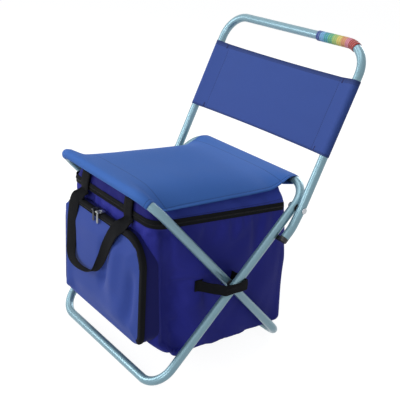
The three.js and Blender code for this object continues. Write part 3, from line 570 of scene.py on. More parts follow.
def rivet_profile(start, end, shank=0.003, head=0.0055, height=0.0016):
    return ([(0, start - height)] + dome(head, height, start, -1)[::-1][1:] + [(head, start), (shank, start),
            (shank, end), (head, end)] + dome(head, height, end, 1)[:-1] + [(0, end + height)])


def washer_profile(start, end, outer=0.0075, inner=0.00335, soft=0.0003):
    return [(inner, start), (outer - soft, start), (outer, start + soft), (outer, end - soft), (outer - soft, end),
            (inner, end)]


DOME_ROOM = 0.0016  # each domed head keeps within its CAD rivet's length
for side, sign in SIDES:
    for label, place in (("pivot", PIVOT), ("backrest", KNEE)):
        for part, look, slot, sharp in (("rivet", zinc, "zinc", 50), ("washer", black_nylon, "black_nylon", 40)):
            node = f"{label}_{part}_{side}"
            near, far = sorted(abs(corner.x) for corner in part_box(node))
            plain = part == "washer"
            profile = washer_profile(near, far) if plain else rivet_profile(near + DOME_ROOM, far - DOME_ROOM)
            bm = turned(bmesh.new(), profile, place, Vector((sign, 0, 0)), closed=plain)
            make_piece(f"{label}_{side}_{part}", bm, look, "rear_frame", [node], sharp=sharp)

# %% [markdown]
# The plug in each hoop foot is turned too, with a lug that bears on the back of the leg. The lug is a small block,
# bevelled all round as moulded nylon is.

# %% Foot plugs
def block(bm, size, matrix, soft):
    made = bmesh.ops.create_cube(bm, size=1, matrix=matrix @ Matrix.Diagonal((*size, 1)))
    edges = list(dict.fromkeys(edge for vert in made["verts"] for edge in vert.link_edges))
    bmesh.ops.bevel(bm, geom=edges, offset=soft, segments=2, profile=0.5, affect="EDGES", material=-1)


PLUG = [(0, -0.01), (0.0068, -0.01), (0.0068, 0.0003), (0.0077, 0.0003), (0.008, 0.0007), (0.008, 0.0065),
        (0.0072, 0.0082), (0.0055, 0.0088), (0, 0.009)]
LUG = Vector((HOOP_HALF - REAR_HALF + TUBE, 0.0083, 0.007))
toe_down = Vector((0, -cos(REAR_LEAN), -sin(REAR_LEAN)))
off_leg = Vector((0, -sin(REAR_LEAN), cos(REAR_LEAN)))
lug_face = SHIN * sin(SHIN_TURN) - 0.00828 - 0.00035
for side, sign in SIDES:
    centre = beside(toe_end, sign)
    bm = turned(bmesh.new(), PLUG, centre, toe_down)
    middle = centre + Vector((-sign * LUG.x / 2, 0, 0)) + toe_down * 0.0045 + off_leg * (lug_face - LUG.z / 2)
    block(bm, LUG, Matrix.Translation(middle) @ Matrix.Rotation(REAR_LEAN, 4, "X"), 0.0008)
    make_piece(f"hoop_plug_{side}", bm, black_nylon, "backrest", [f"backrest_stop_{side}"])

# %% [markdown]
# ## Lofted cloth
# Sewn pieces are skins drawn through a row of cross sections. A grid already has the right faces in the right
# order, so we make one and move its points onto the sections. Its UV map is written first, in metres of cloth.

# %% Loft helper
def lengths_along(points):
    run = [0.0]
    for a, b in zip(points, points[1:]):
        run.append(run[-1] + (b - a).length)
    return run


def loft(rings, closed=True, guide=None):
    """A skin through rings of equal counts. closed joins each ring's end to its start."""
    count, rows = len(rings[0]), len(rings)
    columns = count if closed else count - 1
    around = rings[len(rings) // 2 if guide is None else guide]
    across = lengths_along(list(around) + ([around[0]] if closed else []))
    along = lengths_along([ring[count // 4] for ring in rings])
    bm = bmesh.new()
    bmesh.ops.create_grid(bm, x_segments=columns, y_segments=rows - 1, size=0.5)
    uv = bm.loops.layers.uv.new("cloth")
    place = {vert: (round((vert.co.x + 0.5) * columns), round((vert.co.y + 0.5) * (rows - 1))) for vert in bm.verts}
    for face in bm.faces:
        for corner in face.loops:
            i, j = place[corner.vert]
            corner[uv].uv = (across[i], along[j])
    for vert, (i, j) in place.items():
        vert.co = rings[j][i % count]
    return bm


def mix(a, b, share):
    return a + (b - a) * share


def ease(share):
    share = min(1.0, max(0.0, share))
    return share * share * (3 - 2 * share)


def ripple(point, size, *stretch):
    """Smooth noise from -1 to 1 at that size in metres, longer along the axes with a stretch above 1."""
    x, y, z = stretch or (1, 1, 1)
    return noise.noise(Vector((point.x / size / x, point.y / size / y, point.z / size / z)))

# %% [markdown]
# ## Backrest
# One strip of doubled cloth is sewn round both arms of the hoop. Its section is a closed line: round an arm, drawn
# in to the seam, across, and round the other arm. The cloth is pulled taut, so the wrinkles are small and run
# from the seams.

# %% Backrest cloth
SEAM, SEAM_STITCH, HEM_STITCH, BACKREST_ROWS = 0.030, 0.0035, 0.007, 46
CASING_STEPS, SPAN_STEPS = 16, 60
up_arm = Vector((0, sin(HOOP_LEAN), cos(HOOP_LEAN)))
out_back = Vector((0, cos(HOOP_LEAN), -sin(HOOP_LEAN)))
PANEL_TOP, PANEL_TALL = 0.198 * ARM, 0.466 * ARM


def casing():
    """A cloth line round a tube at the origin, from the seam's one side to the other."""
    reach = pi - acos(SLEEVE / SEAM)
    angles = [mix(-reach, reach, k / CASING_STEPS) for k in range(CASING_STEPS + 1)]
    return [(SLEEVE * cos(a), SLEEVE * sin(a)) for a in angles]


def backrest_section(down):
    share = (down - PANEL_TOP) / PANEL_TALL
    middle, inner = hoop_top - up_arm * down, HOOP_HALF - SEAM
    curve = [(HOOP_HALF + x, y) for x, y in casing()]
    spans = [mix(inner, -inner, k / SPAN_STEPS) for k in range(SPAN_STEPS + 1)]
    line = curve + [(x, 0.0008) for x in spans] + [(-x, -y) for x, y in curve] + [(-x, -0.0008) for x in spans]
    points = []
    for x, y in line:
        slack = 0.0022 * (1 - 4 * share * (1 - share)) ** 3 * (1 - (x / HOOP_HALF) ** 2)
        pull = ripple(Vector((x, 0, down)), 0.05, 2.6, 1, 0.6) * 0.0011 + ripple(Vector((x, 3, down)), 0.16) * 0.0016
        flat = min(1.0, max(0.0, (inner + 0.004 - abs(x)) / 0.012))
        lift = slack * (1 if share < 0.5 else -1)
        points.append(middle + Vector((x, 0, 0)) + out_back * (-(y + pull * flat)) - up_arm * lift)
    return points


bm = loft([backrest_section(PANEL_TOP + PANEL_TALL * k / BACKREST_ROWS) for k in range(BACKREST_ROWS + 1)])
strip = lengths_along(backrest_section(PANEL_TOP + PANEL_TALL / 2))
right_end, left_end = CASING_STEPS + 1, CASING_STEPS + SPAN_STEPS + 1
turn_back = right_end + SPAN_STEPS + 1
seam_places = [strip[k + turn] + side * SEAM_STITCH
               for turn in (0, turn_back) for k, side in ((right_end, 1), (left_end, -1))]
print("backrest strip", round(strip[-1], 3), "m round, seams at", [round(u, 3) for u in seam_places])
backrest_seams = [(1, HEM_STITCH), (1, PANEL_TALL - HEM_STITCH)] + [(0, u) for u in seam_places]
backrest_cloth = cloth_finish("backrest_cloth", paint(52, 78, 150), backrest_seams, sheen=0.06, stitch=0.0007,
                              hems=(0.0, PANEL_TALL))
backrest_cover = make_piece("backrest_cover", bm, backrest_cloth, "backrest", ["backrest_panel"],
                            sharp=70, wall=(0.0009, -1))

# %% [markdown]
# Each casing seam starts and ends in a bar tack, a short dense block of thread that stops the seam from tearing
# open. We set one at each end of both seams, on the front and on the back.

# %% Bar tacks
TACK, TACK_DOWN = (0.0032, 0.0018, 0.0095), 0.0065
tack_thread = hard_finish("tack_thread", paint(24, 36, 92), 0.8, grain=1800.0, bump=0.3)
bm = bmesh.new()
for _, sign in SIDES:
    for down in (PANEL_TOP + TACK_DOWN, PANEL_TOP + PANEL_TALL - TACK_DOWN):
        for face in (-1, 1):
            across = Vector((sign * (HOOP_HALF - SEAM + SEAM_STITCH), 0, 0))
            spot = hoop_top - up_arm * down + across + out_back * face * 0.0012
            block(bm, TACK, Matrix.Translation(spot) @ Matrix.Rotation(-HOOP_LEAN, 4, "X"), 0.0005)
make_piece("bar_tacks", bm, tack_thread, "backrest", ())

# %% [markdown]
# ## Grip wrap
# A striped band is wrapped round the right end of the top bar. It is a sleeve that follows the bar into its bend,
# so it is bent from a wider circle by the same helper, and its stripes follow the bar through the UV map.

# %% Grip wrap
GRIP_START, GRIP_LONG, GRIP_RADIUS, GRIP_STEPS, GRIP_SIDES = 0.065, 0.098, 0.0094, 98, 36
PALE_LINE_APART, PALE_LINE_SLANT, PALE_LINE_WIDE, THREAD_AND_HIGHLIGHT_SHOWN = 0.0049, 0.0588, 0.2, 0.3
STRIPES = [(38, 70, 148), (104, 168, 214), (58, 162, 172), (84, 172, 124), (164, 194, 104), (224, 204, 100),
           (220, 152, 100), (216, 130, 148), (172, 52, 46)]


def bar_point(half, bar, drop, bend, run):
    """Place and heading at a run along a bar from its middle to the right, down the bend if it gets there."""
    straight_end = half - bend
    if run <= straight_end:
        return bar + Vector((run, 0, 0)), Vector((1, 0, 0))
    a = (run - straight_end) / bend
    place = bar + Vector((straight_end + bend * sin(a), 0, 0)) + drop * bend * (1 - cos(a))
    return place, Vector((cos(a), 0, 0)) + drop * sin(a)


grip_rings = []
for k in range(GRIP_STEPS + 1):
    place, heading = bar_point(HOOP_HALF, hoop_top, -up_arm, HOOP_BEND, GRIP_START + GRIP_LONG * k / GRIP_STEPS)
    across = heading.cross(out_back).normalized()
    radius = GRIP_RADIUS - 0.00035 * (k % 4 == 0) - 0.0009 * (k in (0, GRIP_STEPS))
    angles = [2 * pi * side / GRIP_SIDES for side in range(GRIP_SIDES)]
    grip_rings.append([place + (out_back * cos(a) + across * sin(a)) * radius for a in angles])

grip_stripes, tree = blank_material("grip_stripes")
u, v = cloth_place(tree)
ramp = put(tree, "ValToRGB", maths(tree, "DIVIDE", v, GRIP_LONG))
stops = ramp.color_ramp
stops.interpolation = "CONSTANT"
while len(stops.elements) < len(STRIPES):
    stops.elements.new(0.5)
for k, stripe in enumerate(STRIPES):
    stops.elements[k].position = k / len(STRIPES)
    stops.elements[k].color = paint(*stripe)
woven = use_group(tree, weave, Across=u, Along=v, Pitch=0.0011).outputs[0]
handled = use_group(tree, handling, Size=60.0, Amount=0.12).outputs[0]
faded = put(tree, "VectorMath", ramp.outputs[0], handled, operation="MULTIPLY").outputs[0]
# Thin pale lines wind round the band: partly its pale threads, partly a painted highlight along the grooves of the
# wrap.
winding = maths(tree, "MULTIPLY_ADD", v, 1 / PALE_LINE_APART, maths(tree, "MULTIPLY", u, 1 / PALE_LINE_SLANT))
pale = maths(tree, "LESS_THAN", maths(tree, "FRACT", winding), PALE_LINE_WIDE)
lined = laid_over(tree, maths(tree, "MULTIPLY", pale, THREAD_AND_HIGHLIGHT_SHOWN), faded, paint(236, 238, 236))
complete(tree, {"Base Color": lined, "Roughness": 0.6, "Sheen Weight": 0.1}, woven, 0.5, 0.0006)
make_piece("grip_band", loft(grip_rings), grip_stripes, "backrest", ["grip_wrap"], sharp=60,
           wall=(0.0013, -1))

# %% [markdown]
# ## Seat
# The seat is one taut sheet. It wraps round the front bar, crosses to the rear bar, wraps round that too, and each
# end is sewn to its underside. Near the front it also follows the bar down into the bends. We walk along this
# line for each thread across the width: under, round, over, across, round and under again.

# %% Seat shape
SEAT_HALF, SEAT_SAG, SEAT_DROOP = 0.138, 0.003, 0.03
UNDER_STEPS, WRAP_STEPS, SPAN_ROWS, SEAT_COLUMNS = 6, 18, 56, 96
REAR_DOWN, FRONT_DOWN = (PIVOT - rear_bar).normalized(), (PIVOT - front_bar).normalized()
FRONT_RUN = FRONT_HALF - FRAME_BEND + FRAME_BEND * pi / 2 * 0.5
REAR_RUN = REAR_HALF - FRAME_BEND + FRAME_BEND * pi / 2 * 0.12
to_rear = (rear_bar - front_bar).normalized()


def bar_plane(y):
    return mix(front_bar.z, rear_bar.z, (y - front_bar.y) / (rear_bar.y - front_bar.y))


def edge_drop(share):
    """How far the side edges hang below the middle: most of it at once behind the front bar, less to the rear."""
    behind_front = 1 - exp(-(max(0.0, share) / 0.045) ** 1.5)
    return SEAT_DROOP * behind_front * (1 - 0.42 * share) * (1 - ease((share - 0.8) / 0.2))


def seat_height(x, y):
    share = (y - front_bar.y) / (rear_bar.y - front_bar.y)
    along = min(1.0, max(0.0, (share - 0.03) / 0.94))
    ends = sqrt(max(0.0, 4 * along * (1 - along)))
    edge = min(1.0, abs(x) / SEAT_HALF) ** 5
    return bar_plane(y) + SLEEVE - SEAT_SAG * ends - edge_drop(share) * edge


def bar_wrap(across, half, bar, down_leg, cloth_run, towards, start, end):
    """Points round a seat bar at a share across its cloth, by angle from the seat's side, over the top."""
    place, heading = bar_point(half, bar, down_leg, FRAME_BEND, abs(across) * cloth_run)
    if across < 0:
        place, heading = Vector((-place.x, *place.yz)), Vector((heading.x, -heading.y, -heading.z))
    inward = (towards - heading * towards.dot(heading)).normalized()
    above = inward.cross(heading).normalized()
    above = above if above.z > 0 else -above
    angles = [mix(radians(start), radians(end), k / WRAP_STEPS) for k in range(WRAP_STEPS + 1)]
    return [place + (inward * cos(a) + above * sin(a)) * SLEEVE for a in angles]


def seat_thread(across):
    front_wrap = bar_wrap(across, FRONT_HALF, front_bar, FRONT_DOWN, FRONT_RUN, to_rear, -80, -270)
    rear_wrap = bar_wrap(across, REAR_HALF, rear_bar, REAR_DOWN, REAR_RUN, -to_rear, 90, 280)
    first, last = front_wrap[-1], rear_wrap[0]
    span = []
    for k in range(1, SPAN_ROWS):
        share = k / SPAN_ROWS
        bow = sin(pi * share)
        y = mix(first.y, last.y, share)
        x = mix(first.x, last.x, ease(share)) + across * 0.002 * bow
        x = x + (across * SEAT_HALF - x) * bow ** 0.5 * 0.85
        end = first if share < 0.5 else last
        off_bar = ease(min(1.0, share / 0.07, (1 - share) / 0.10))
        point = Vector((x, y, mix(end.z + (bar_plane(y) - bar_plane(end.y)), seat_height(x, y), off_bar)))
        point.z += ripple(point, 0.05, 2.5, 0.8, 1) * 0.0006 + ripple(point, 0.12) * 0.0012 * bow
        span.append(point)
    below, steps = Vector((0, 0, 0.0022)), range(1, UNDER_STEPS + 1)
    under_front = [mix(front_wrap[0], span[UNDER_STEPS - 1] - below, k / UNDER_STEPS) for k in reversed(steps)]
    under_rear = [mix(rear_wrap[-1], span[-UNDER_STEPS] - below, k / UNDER_STEPS) for k in steps]
    return under_front + front_wrap + span + rear_wrap + under_rear

# %% Seat cloth
MIDDLE_ROW, EDGE_SEAM = 50, 0.007
threads = [seat_thread(mix(-1, 1, k / SEAT_COLUMNS)) for k in range(SEAT_COLUMNS + 1)]
seat_rings = [list(row) for row in zip(*threads)]
bm = loft(seat_rings, closed=False, guide=MIDDLE_ROW)
seat_wide = lengths_along(seat_rings[MIDDLE_ROW])[-1]
down_seat = lengths_along(threads[SEAT_COLUMNS // 4])
print("seat cloth", round(seat_wide, 3), "by", round(down_seat[-1], 3), "m")
hidden = UNDER_STEPS + WRAP_STEPS + 1
seat_seams = [(1, down_seat[hidden + UNDER_STEPS - 1]), (1, down_seat[-(hidden + UNDER_STEPS)]), (0, EDGE_SEAM),
              (0, seat_wide - EDGE_SEAM)]
seat_cloth = cloth_finish("seat_cloth", paint(62, 108, 185), seat_seams, sheen=0.03, specular=0.2, stitch=0.0009)
seat_cover = make_piece("seat_cover", bm, seat_cloth, None, (), sharp=80, wall=(0.0008, -1))
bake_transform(seat_cover)
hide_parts("seat_panel")

# %% [markdown]
# ## The bag's form
# The bag is a tall soft box. Seen from above, each of its levels is a rectangle with round corners, and from foot to
# rim the front leans out while the rear draws in a little. One function gives the line at a level, so that body,
# lid and zip all fit each other.

# %% Bag outline
BAG_HALF, BAG_BOTTOM, ZIP_DOWN = 0.136, 0.033, 0.048
BAG_CORNER, REAR_CORNER, LEAN_OUT, REAR_FULL = 0.025, 0.014, 0.0135, 0.016
REAR_STEPS, SIDE_STEPS, FRONT_STEPS, REAR_TURN, FRONT_TURN = 22, 56, 50, 6, 8
FRONT_RIM, REAR_RIM = front_bar.y + 0.0174, rear_bar.y - 0.0144
LEVELS = [  # share of the height, front depth, rear depth, front corner
    (0.0, FRONT_RIM + 0.0545, REAR_RIM + REAR_FULL, 0.012),
    (0.125, FRONT_RIM + LEAN_OUT, REAR_RIM + REAR_FULL, BAG_CORNER),
    (0.55, FRONT_RIM + LEAN_OUT * 0.514, REAR_RIM + REAR_FULL, BAG_CORNER),
    (1.0, FRONT_RIM, REAR_RIM, BAG_CORNER),
]


def zip_plane(y):
    return bar_plane(y) - ZIP_DOWN


def level_at(share):
    for low, high in zip(LEVELS, LEVELS[1:]):
        if share <= high[0]:
            part = (share - low[0]) / (high[0] - low[0])
            return [mix(a, b, part) for a, b in zip(low[1:], high[1:])]
    return LEVELS[-1][1:]


def quarter(x, y, radius, start, steps):
    angles = [start - pi / 2 * k / steps for k in range(steps)]
    return [(x + radius * cos(a), y + radius * sin(a)) for a in angles]


def straight(a, b, steps):
    return [(mix(a[0], b[0], k / steps), mix(a[1], b[1], k / steps)) for k in range(steps)]


def bag_line(front, rear, corner, inset=0.0):
    """The closed line of a level from the rear's middle, over the right side to the front and back on the left."""
    half, near, far = BAG_HALF - inset, front + inset, rear - inset
    r, s = max(corner - inset, 0.002), max(REAR_CORNER - inset, 0.002)
    corners = [(half - s, far - s, s, pi / 2, REAR_TURN), (half - r, near + r, r, 0, FRONT_TURN),
               (r - half, near + r, r, -pi / 2, FRONT_TURN), (s - half, far - s, s, -pi, REAR_TURN)]
    walls = [((0, far), (half - s, far), REAR_STEPS), ((half, far - s), (half, near + r), SIDE_STEPS),
             ((half - r, near), (r - half, near), FRONT_STEPS), ((-half, near + r), (-half, far - s), SIDE_STEPS)]
    line = []
    for wall, corner in zip(walls, corners):
        line += straight(*wall) + quarter(*corner)
    return line + straight((s - half, far), (0, far), REAR_STEPS)


def rim_line(inset=0.0):
    return bag_line(FRONT_RIM, REAR_RIM, BAG_CORNER, inset)


def bag_ring(share, inset=0.0, lift=0.0):
    line = bag_line(*level_at(share), inset)
    return [Vector((x, y, mix(BAG_BOTTOM, zip_plane(y), share) + lift)) for x, y in line]

# %% [markdown]
# Insulated cloth does not crease sharply: foam behind it keeps the folds soft and broad. We shape them as a sum of
# stretched noises, each faded out towards the seams that hold it, and push each point along its normal.

# %% Folds
def folded(bm, depth):
    """Moves each point along its normal by depth(point), in metres."""
    bm.normal_update()
    moves = [(vert, vert.normal * depth(vert.co)) for vert in bm.verts]
    for vert, move in moves:
        vert.co += move


def soft_ridge(point, size, *stretch):
    """A fold's profile: a rounded ridge where the noise crosses nought."""
    return exp(-(3.2 * ripple(point, size, *stretch)) ** 2)


def held(distance, reach):
    return ease(distance / reach)


def bag_folds(p):
    top, low = zip_plane(p.y) - p.z, p.z - BAG_BOTTOM
    hold = held(top, 0.02) * (0.35 + 0.65 * held(low, 0.02))
    broad = ripple(p + Vector((0.3, 0, 0)), 0.09, 1, 1, 1.5) * 0.0048
    upright = (soft_ridge(p, 0.07, 1, 0.8, 3.0) - 0.4) * 0.0026
    slanted = Vector((p.x, p.y * 0.8 + p.z * 0.6, p.z * 0.8 - p.y * 0.6))
    drawn = (soft_ridge(slanted, 0.06, 3.0, 2.6, 1) - 0.4) * 0.003 * (0.4 + 0.6 * held(0.14 - top, 0.1))
    tuck = 0.0022 * (1 - ease(abs(top - 0.0125) / 0.0045))
    if abs(p.x) < BAG_HALF - 0.004:
        return hold * (broad + upright + drawn * 0.5) + tuck
    strap = Vector((0, p.y - (PIVOT.y - 0.045), p.z - PIVOT.z)).length
    radiating = (soft_ridge(p, 0.03, 1, 3, 0.8) - 0.4) * 0.003 * (1 - ease(strap / 0.11))
    pulled = radiating - 0.0035 * (1 - ease(strap / 0.07))
    behind = p.y - level_at(low / (zip_plane(p.y) - BAG_BOTTOM))[0]
    swell = ease((behind - 0.010) / 0.014) * (1 - ease((behind - 0.034) / 0.07))
    swell *= mix(0.016, 0.006, ease((p.z - 0.17) / 0.08))
    return hold * (broad * 0.8 + upright + drawn + pulled + swell) + tuck


def hem_sag(bm):
    """The hem hangs a few millimetres between the board's corners."""
    for vert in bm.verts:
        side, low = ease((abs(vert.co.x) - 0.105) / 0.025), 1 - held(vert.co.z - BAG_BOTTOM, 0.035)
        vert.co.z -= 0.006 * side * low * max(0.0, 0.35 + ripple(Vector((9, vert.co.y, 0)), 0.045))

# %% [markdown]
# ## Let the cloth settle
# Drawn folds alone look drawn. So the bag's skin is also run as cloth: it is cut a little too large, held where the
# real one is sewn down, puffed out by the foam behind it, and left to hang for a few frames. We copy the places
# that its points reach, keep each within a cap so that the walls stay clear of the legs, and drop the simulation.

# %% Cloth helper
FRAMES, SLACK, PUFF, MOST_INWARD, MERGE = 26, 0.045, 1.0, 0.011, 1e-6


def settle(bm, sewn, cap):
    bmesh.ops.remove_doubles(bm, verts=bm.verts, dist=MERGE)
    bmesh.ops.recalc_face_normals(bm, faces=bm.faces)
    mesh = bpy.data.meshes.new("draft")
    bm.to_mesh(mesh)
    draft = add_object("draft", mesh)
    group = draft.vertex_groups.new(name="sewn")
    for vert in mesh.vertices:
        group.add([vert.index], sewn(vert.co), "REPLACE")
    cloth = draft.modifiers.new("cloth", "CLOTH")
    rules = cloth.settings
    rules.vertex_group_mass, rules.quality, rules.mass = "sewn", 5, 0.2
    rules.tension_stiffness = rules.compression_stiffness = 20
    rules.shear_stiffness, rules.bending_stiffness = 8, 14.0
    rules.shrink_min, rules.use_pressure, rules.uniform_pressure_force = -SLACK, True, PUFF
    rules.effector_weights.gravity = 0.5
    cloth.collision_settings.use_collision = False
    for frame in range(1, FRAMES + 1):
        bpy.context.scene.frame_set(frame)
    settled = draft.evaluated_get(bpy.context.evaluated_depsgraph_get()).data
    far = 0
    for vert, place in zip(bm.verts, [v.co.copy() for v in settled.vertices]):
        offset = place - vert.co
        most = cap(vert.co) if offset.dot(vert.normal) > 0 else MOST_INWARD
        vert.co += offset / (1 + (offset.length / most) ** 4) ** 0.25
        far = max(far, offset.length)
    bpy.context.scene.frame_set(1)
    bpy.data.objects.remove(draft)
    print("cloth points:", len(bm.verts), "furthest move", round(far, 4))

# %% [markdown]
# ## Bag body
# The body is lofted from the middle of its floor outward, round the hem and up the walls to the zip. The last row
# turns in under the zip tape. The floor's rings close at a pole, which lies flat under the board. The front is
# sewn behind the pocket, the sides where the leg straps start.

# %% Bag body
def bag_sewn(p):
    top = zip_plane(p.y) - p.z
    rim = 1 - ease((top - 0.004) / 0.006)
    board = 1 if p.z < BAG_BOTTOM + 0.0006 else 0.0
    front = 1 if p.y < FRONT_RIM + 0.05 and abs(p.x) < BAG_HALF - 0.004 and top > 0.03 else 0
    strap = 1 - ease((Vector((0, p.y - (PIVOT.y - 0.052), p.z - PIVOT.z)).length - 0.01) / 0.01)
    return max(rim, board, front, strap)


def bag_cap(p):
    """How far the wall may swell: less where a leg runs close by."""
    return 0.0035 if p.z > PIVOT.z - 0.03 or p.y > PIVOT.y - 0.03 else 0.006


HEM_RADIUS, FLOOR_RINGS, HEM_STEPS, WALL_ROWS = 0.010, 14, 6, 47
floor_line = bag_ring(0.0, HEM_RADIUS)
middle = sum(floor_line, Vector()) / len(floor_line)
body_rings = [[middle + (p - middle) * (k / FLOOR_RINGS) for p in floor_line] for k in range(FLOOR_RINGS)]
for k in range(HEM_STEPS + 1):
    a = pi / 2 * k / HEM_STEPS
    body_rings.append(bag_ring(0.0, HEM_RADIUS * (1 - sin(a)), HEM_RADIUS * (1 - cos(a))))
body_rings += [bag_ring(k / WALL_ROWS) for k in range(2, WALL_ROWS + 1)] + [bag_ring(1.0, 0.0015, 0.0005)]
bm = loft(body_rings, guide=40)
folded(bm, bag_folds)
hem_sag(bm)
settle(bm, bag_sewn, bag_cap)
down_wall = lengths_along([ring[len(floor_line) // 4] for ring in body_rings])
hem_seam = (1, down_wall[FLOOR_RINGS + HEM_STEPS + 1])
bag_cloth = cloth_finish("bag_cloth", paint(47, 51, 150), [hem_seam], sheen=0.03, specular=0.14, amount=0.1,
                         roughness=0.62)
bag_body = make_piece("bag_body", bm, bag_cloth, "rear_frame", ["bag_shell", "bag_foam", "bag_liner"],
                      sharp=60)
smooth = bag_body.modifiers.new("smooth", "SUBSURF")
smooth.levels = smooth.render_levels = 1

# %% [markdown]
# ## Lid
# The lid is sewn under the seat and follows it. From the zip it rises a few centimetres, rounds over and runs
# inward just below the seat cloth, where the two are out of sight.

# %% Lid
LID_LEAN, LID_INSET, LID_ROUND, LID_GAP = 0.014, 0.012, 0.008, 0.0030
LID_ROWS, LID_TURN, LID_TOP_ROWS = 16, 6, 14


def lid_top(x, y):
    return seat_height(x, y) - LID_GAP


def lid_ring(inset, height):
    narrower = 1 - LID_LEAN * min(1.0, inset / LID_INSET) ** 0.5 / BAG_HALF
    return [Vector((x * narrower, y, height(x * narrower, y))) for x, y in rim_line(inset)]


def lid_folds(p):
    low, high = p.z - zip_plane(p.y), lid_top(p.x, p.y) - p.z
    hold = held(low, 0.012) * held(high, 0.01)
    return hold * ((soft_ridge(p, 0.03, 1, 0.9, 2) - 0.35) * 0.0022 + ripple(p, 0.05, 1, 1, 0.6) * 0.0016)


lid_rings = [lid_ring(0.0, lambda x, y: zip_plane(y) + 0.0003)]
for k in range(LID_ROWS + 1):
    share = k / LID_ROWS
    lid_rings.append(lid_ring(LID_INSET * share ** 2, lambda x, y: mix(zip_plane(y) + 0.0006,
                                                                       lid_top(x, y) - LID_ROUND, share)))
for k in range(1, LID_TURN + 1):
    a = pi / 2 * k / LID_TURN
    lid_rings.append(lid_ring(LID_INSET + LID_ROUND * (1 - cos(a)),
                              lambda x, y: lid_top(x, y) - LID_ROUND * (1 - sin(a))))
lid_centre, narrowest = (FRONT_RIM + REAR_RIM) / 2, 1 - LID_LEAN / BAG_HALF
for k in range(1, LID_TOP_ROWS + 1):
    share = 1 - k / LID_TOP_ROWS
    row = [(x * share * narrowest, mix(lid_centre, y, share)) for x, y in rim_line(LID_INSET + LID_ROUND)]
    lid_rings.append([Vector((x, y, lid_top(x, y))) for x, y in row])
bm = loft(lid_rings, guide=10)
folded(bm, lid_folds)
# Faces near the front take a darker copy of the lid's cloth, painted shade under the seat's front edge; all others
# take a lighter copy, painted light on the lid's sides.
for face in bm.faces:
    face.material_index = int(face.calc_center_median().y < FRONT_RIM + 0.02)
lid_painted_light_cloth = cloth_finish("lid_painted_light_cloth", paint(70, 88, 194), [(1, 0.009)], sheen=0.03, specular=0.2, amount=0.1,
                         roughness=0.62)
shaded_cloth = cloth_finish("shaded_cloth", paint(38, 39, 116), sheen=0.02, specular=0.1, amount=0.1, roughness=0.7)
make_piece("bag_lid", bm, [lid_painted_light_cloth, shaded_cloth], "rear_frame", ["lid_shell", "lid_foam", "lid_liner"],
           sharp=60)

# %% [markdown]
# ## Zips
# A zip is two woven tapes with a coil of teeth where they meet. Each zip here is a strip lofted along its seam, with
# one raised row for the coil. The teeth themselves are far too many to model, so they are a bump: fine ridges
# across the strip, shown only where the coil runs.

# %% Zip finish
def webbing_finish(name, colour, width, coil=None, pitch=0.0016, edge=0.0012):
    """Black webbing or tape, with u across its width. coil gives the place and half width of a row of teeth."""
    material, tree = blank_material(name)
    u, v = cloth_place(tree)
    height = maths(tree, "MULTIPLY", use_group(tree, weave, Across=u, Along=v, Pitch=pitch).outputs[0], 0.6)
    left, right = (use_group(tree, stitches, Across=maths(tree, "SUBTRACT", u, place), Along=v).outputs["Height"]
                   for place in (edge, width - edge))
    height = maths(tree, "MULTIPLY_ADD", maths(tree, "ADD", left, right), 0.5, height)
    handled = use_group(tree, handling, Size=40.0, Amount=0.18).outputs[0]
    rough = maths(tree, "MULTIPLY", handled, 0.75)
    if coil:
        place, half = coil
        inside = maths(tree, "LESS_THAN", maths(tree, "ABSOLUTE", maths(tree, "SUBTRACT", u, place)), half)
        tooth = maths(tree, "SINE", maths(tree, "MULTIPLY", v, 2 * pi / 0.0015))
        height = maths(tree, "ADD", height, maths(tree, "MULTIPLY", maths(tree, "MULTIPLY", tooth, inside), 0.9))
        rough = maths(tree, "SUBTRACT", rough, maths(tree, "MULTIPLY", inside, 0.35))
    looks = {"Base Color": tone(tree, colour, handled), "Roughness": rough, "Sheen Weight": 0.0,
             "Specular IOR Level": 0.1}
    complete(tree, looks, height, 0.6, 0.0006)
    return material


def run_at(points, k):
    """The direction of a line of points at its k-th point."""
    return (points[min(k + 1, len(points) - 1)] - points[max(k - 1, 0)]).normalized()


zip_tape = webbing_finish("black_zip_tape", paint(16, 17, 20), 0.0166, coil=(0.0085, 0.0016))

# %% Lid zip
TAPE_HALF = 0.0075
seam = [Vector((x, y, zip_plane(y))) for x, y in rim_line()[REAR_STEPS + 5:-REAR_STEPS - 4]]
half_section = [(0.0004, -TAPE_HALF), (0.0012, -TAPE_HALF), (0.0014, -0.0055), (0.0013, -0.0018), (0.0021, -0.0012)]
tape_section = half_section + [(0.0024, 0.0)] + [(reach, -rise) for reach, rise in reversed(half_section)]
tape_rings = []
for k, point in enumerate(seam):
    run = run_at(seam, k)
    outward = Vector((-run.y, run.x, 0)).normalized()
    tape_rings.append([point + outward * reach + Vector((0, 0, rise)) for reach, rise in tape_section])
bm = loft(tape_rings)
fill_ends(bm)
make_piece("lid_zip_tape", bm, zip_tape, "rear_frame", ["lid_zip"], sharp=60)
print("lid zip", round(lengths_along(seam)[-1], 3), "m long")

# %% [markdown]
# ## Front pocket
# The pocket is a shallow pouch with an arched top. Its wall stands off the bag, rounds over a welted edge and closes
# in a front face that swells a little and hangs in long upright folds, as slack cloth under a zip does.

# %% Pocket outline
POCKET_HALF, POCKET_BOTTOM, POCKET_EDGE = 0.133, 0.07, 0.005
POCKET_FRONT = FRONT_RIM - 0.014
POCKET_TOP = zip_plane(FRONT_RIM) - 0.0277
FOOT_RADIUS, ARCH_RADIUS = 0.026, 0.05
FOOT_TURN, WALL_STEPS, ARCH_TURN, TOP_STEPS, SILL_STEPS = 9, 30, 16, 40, 52


def bag_face(x, z):
    share = (z - BAG_BOTTOM) / (zip_plane(FRONT_RIM) - BAG_BOTTOM)
    side = max(0.0, abs(x) - (BAG_HALF - BAG_CORNER))
    flat = mix(FRONT_RIM + LEAN_OUT, FRONT_RIM, (share - 0.125) / 0.875)
    return flat + BAG_CORNER - sqrt(max(0.0, BAG_CORNER ** 2 - side ** 2))


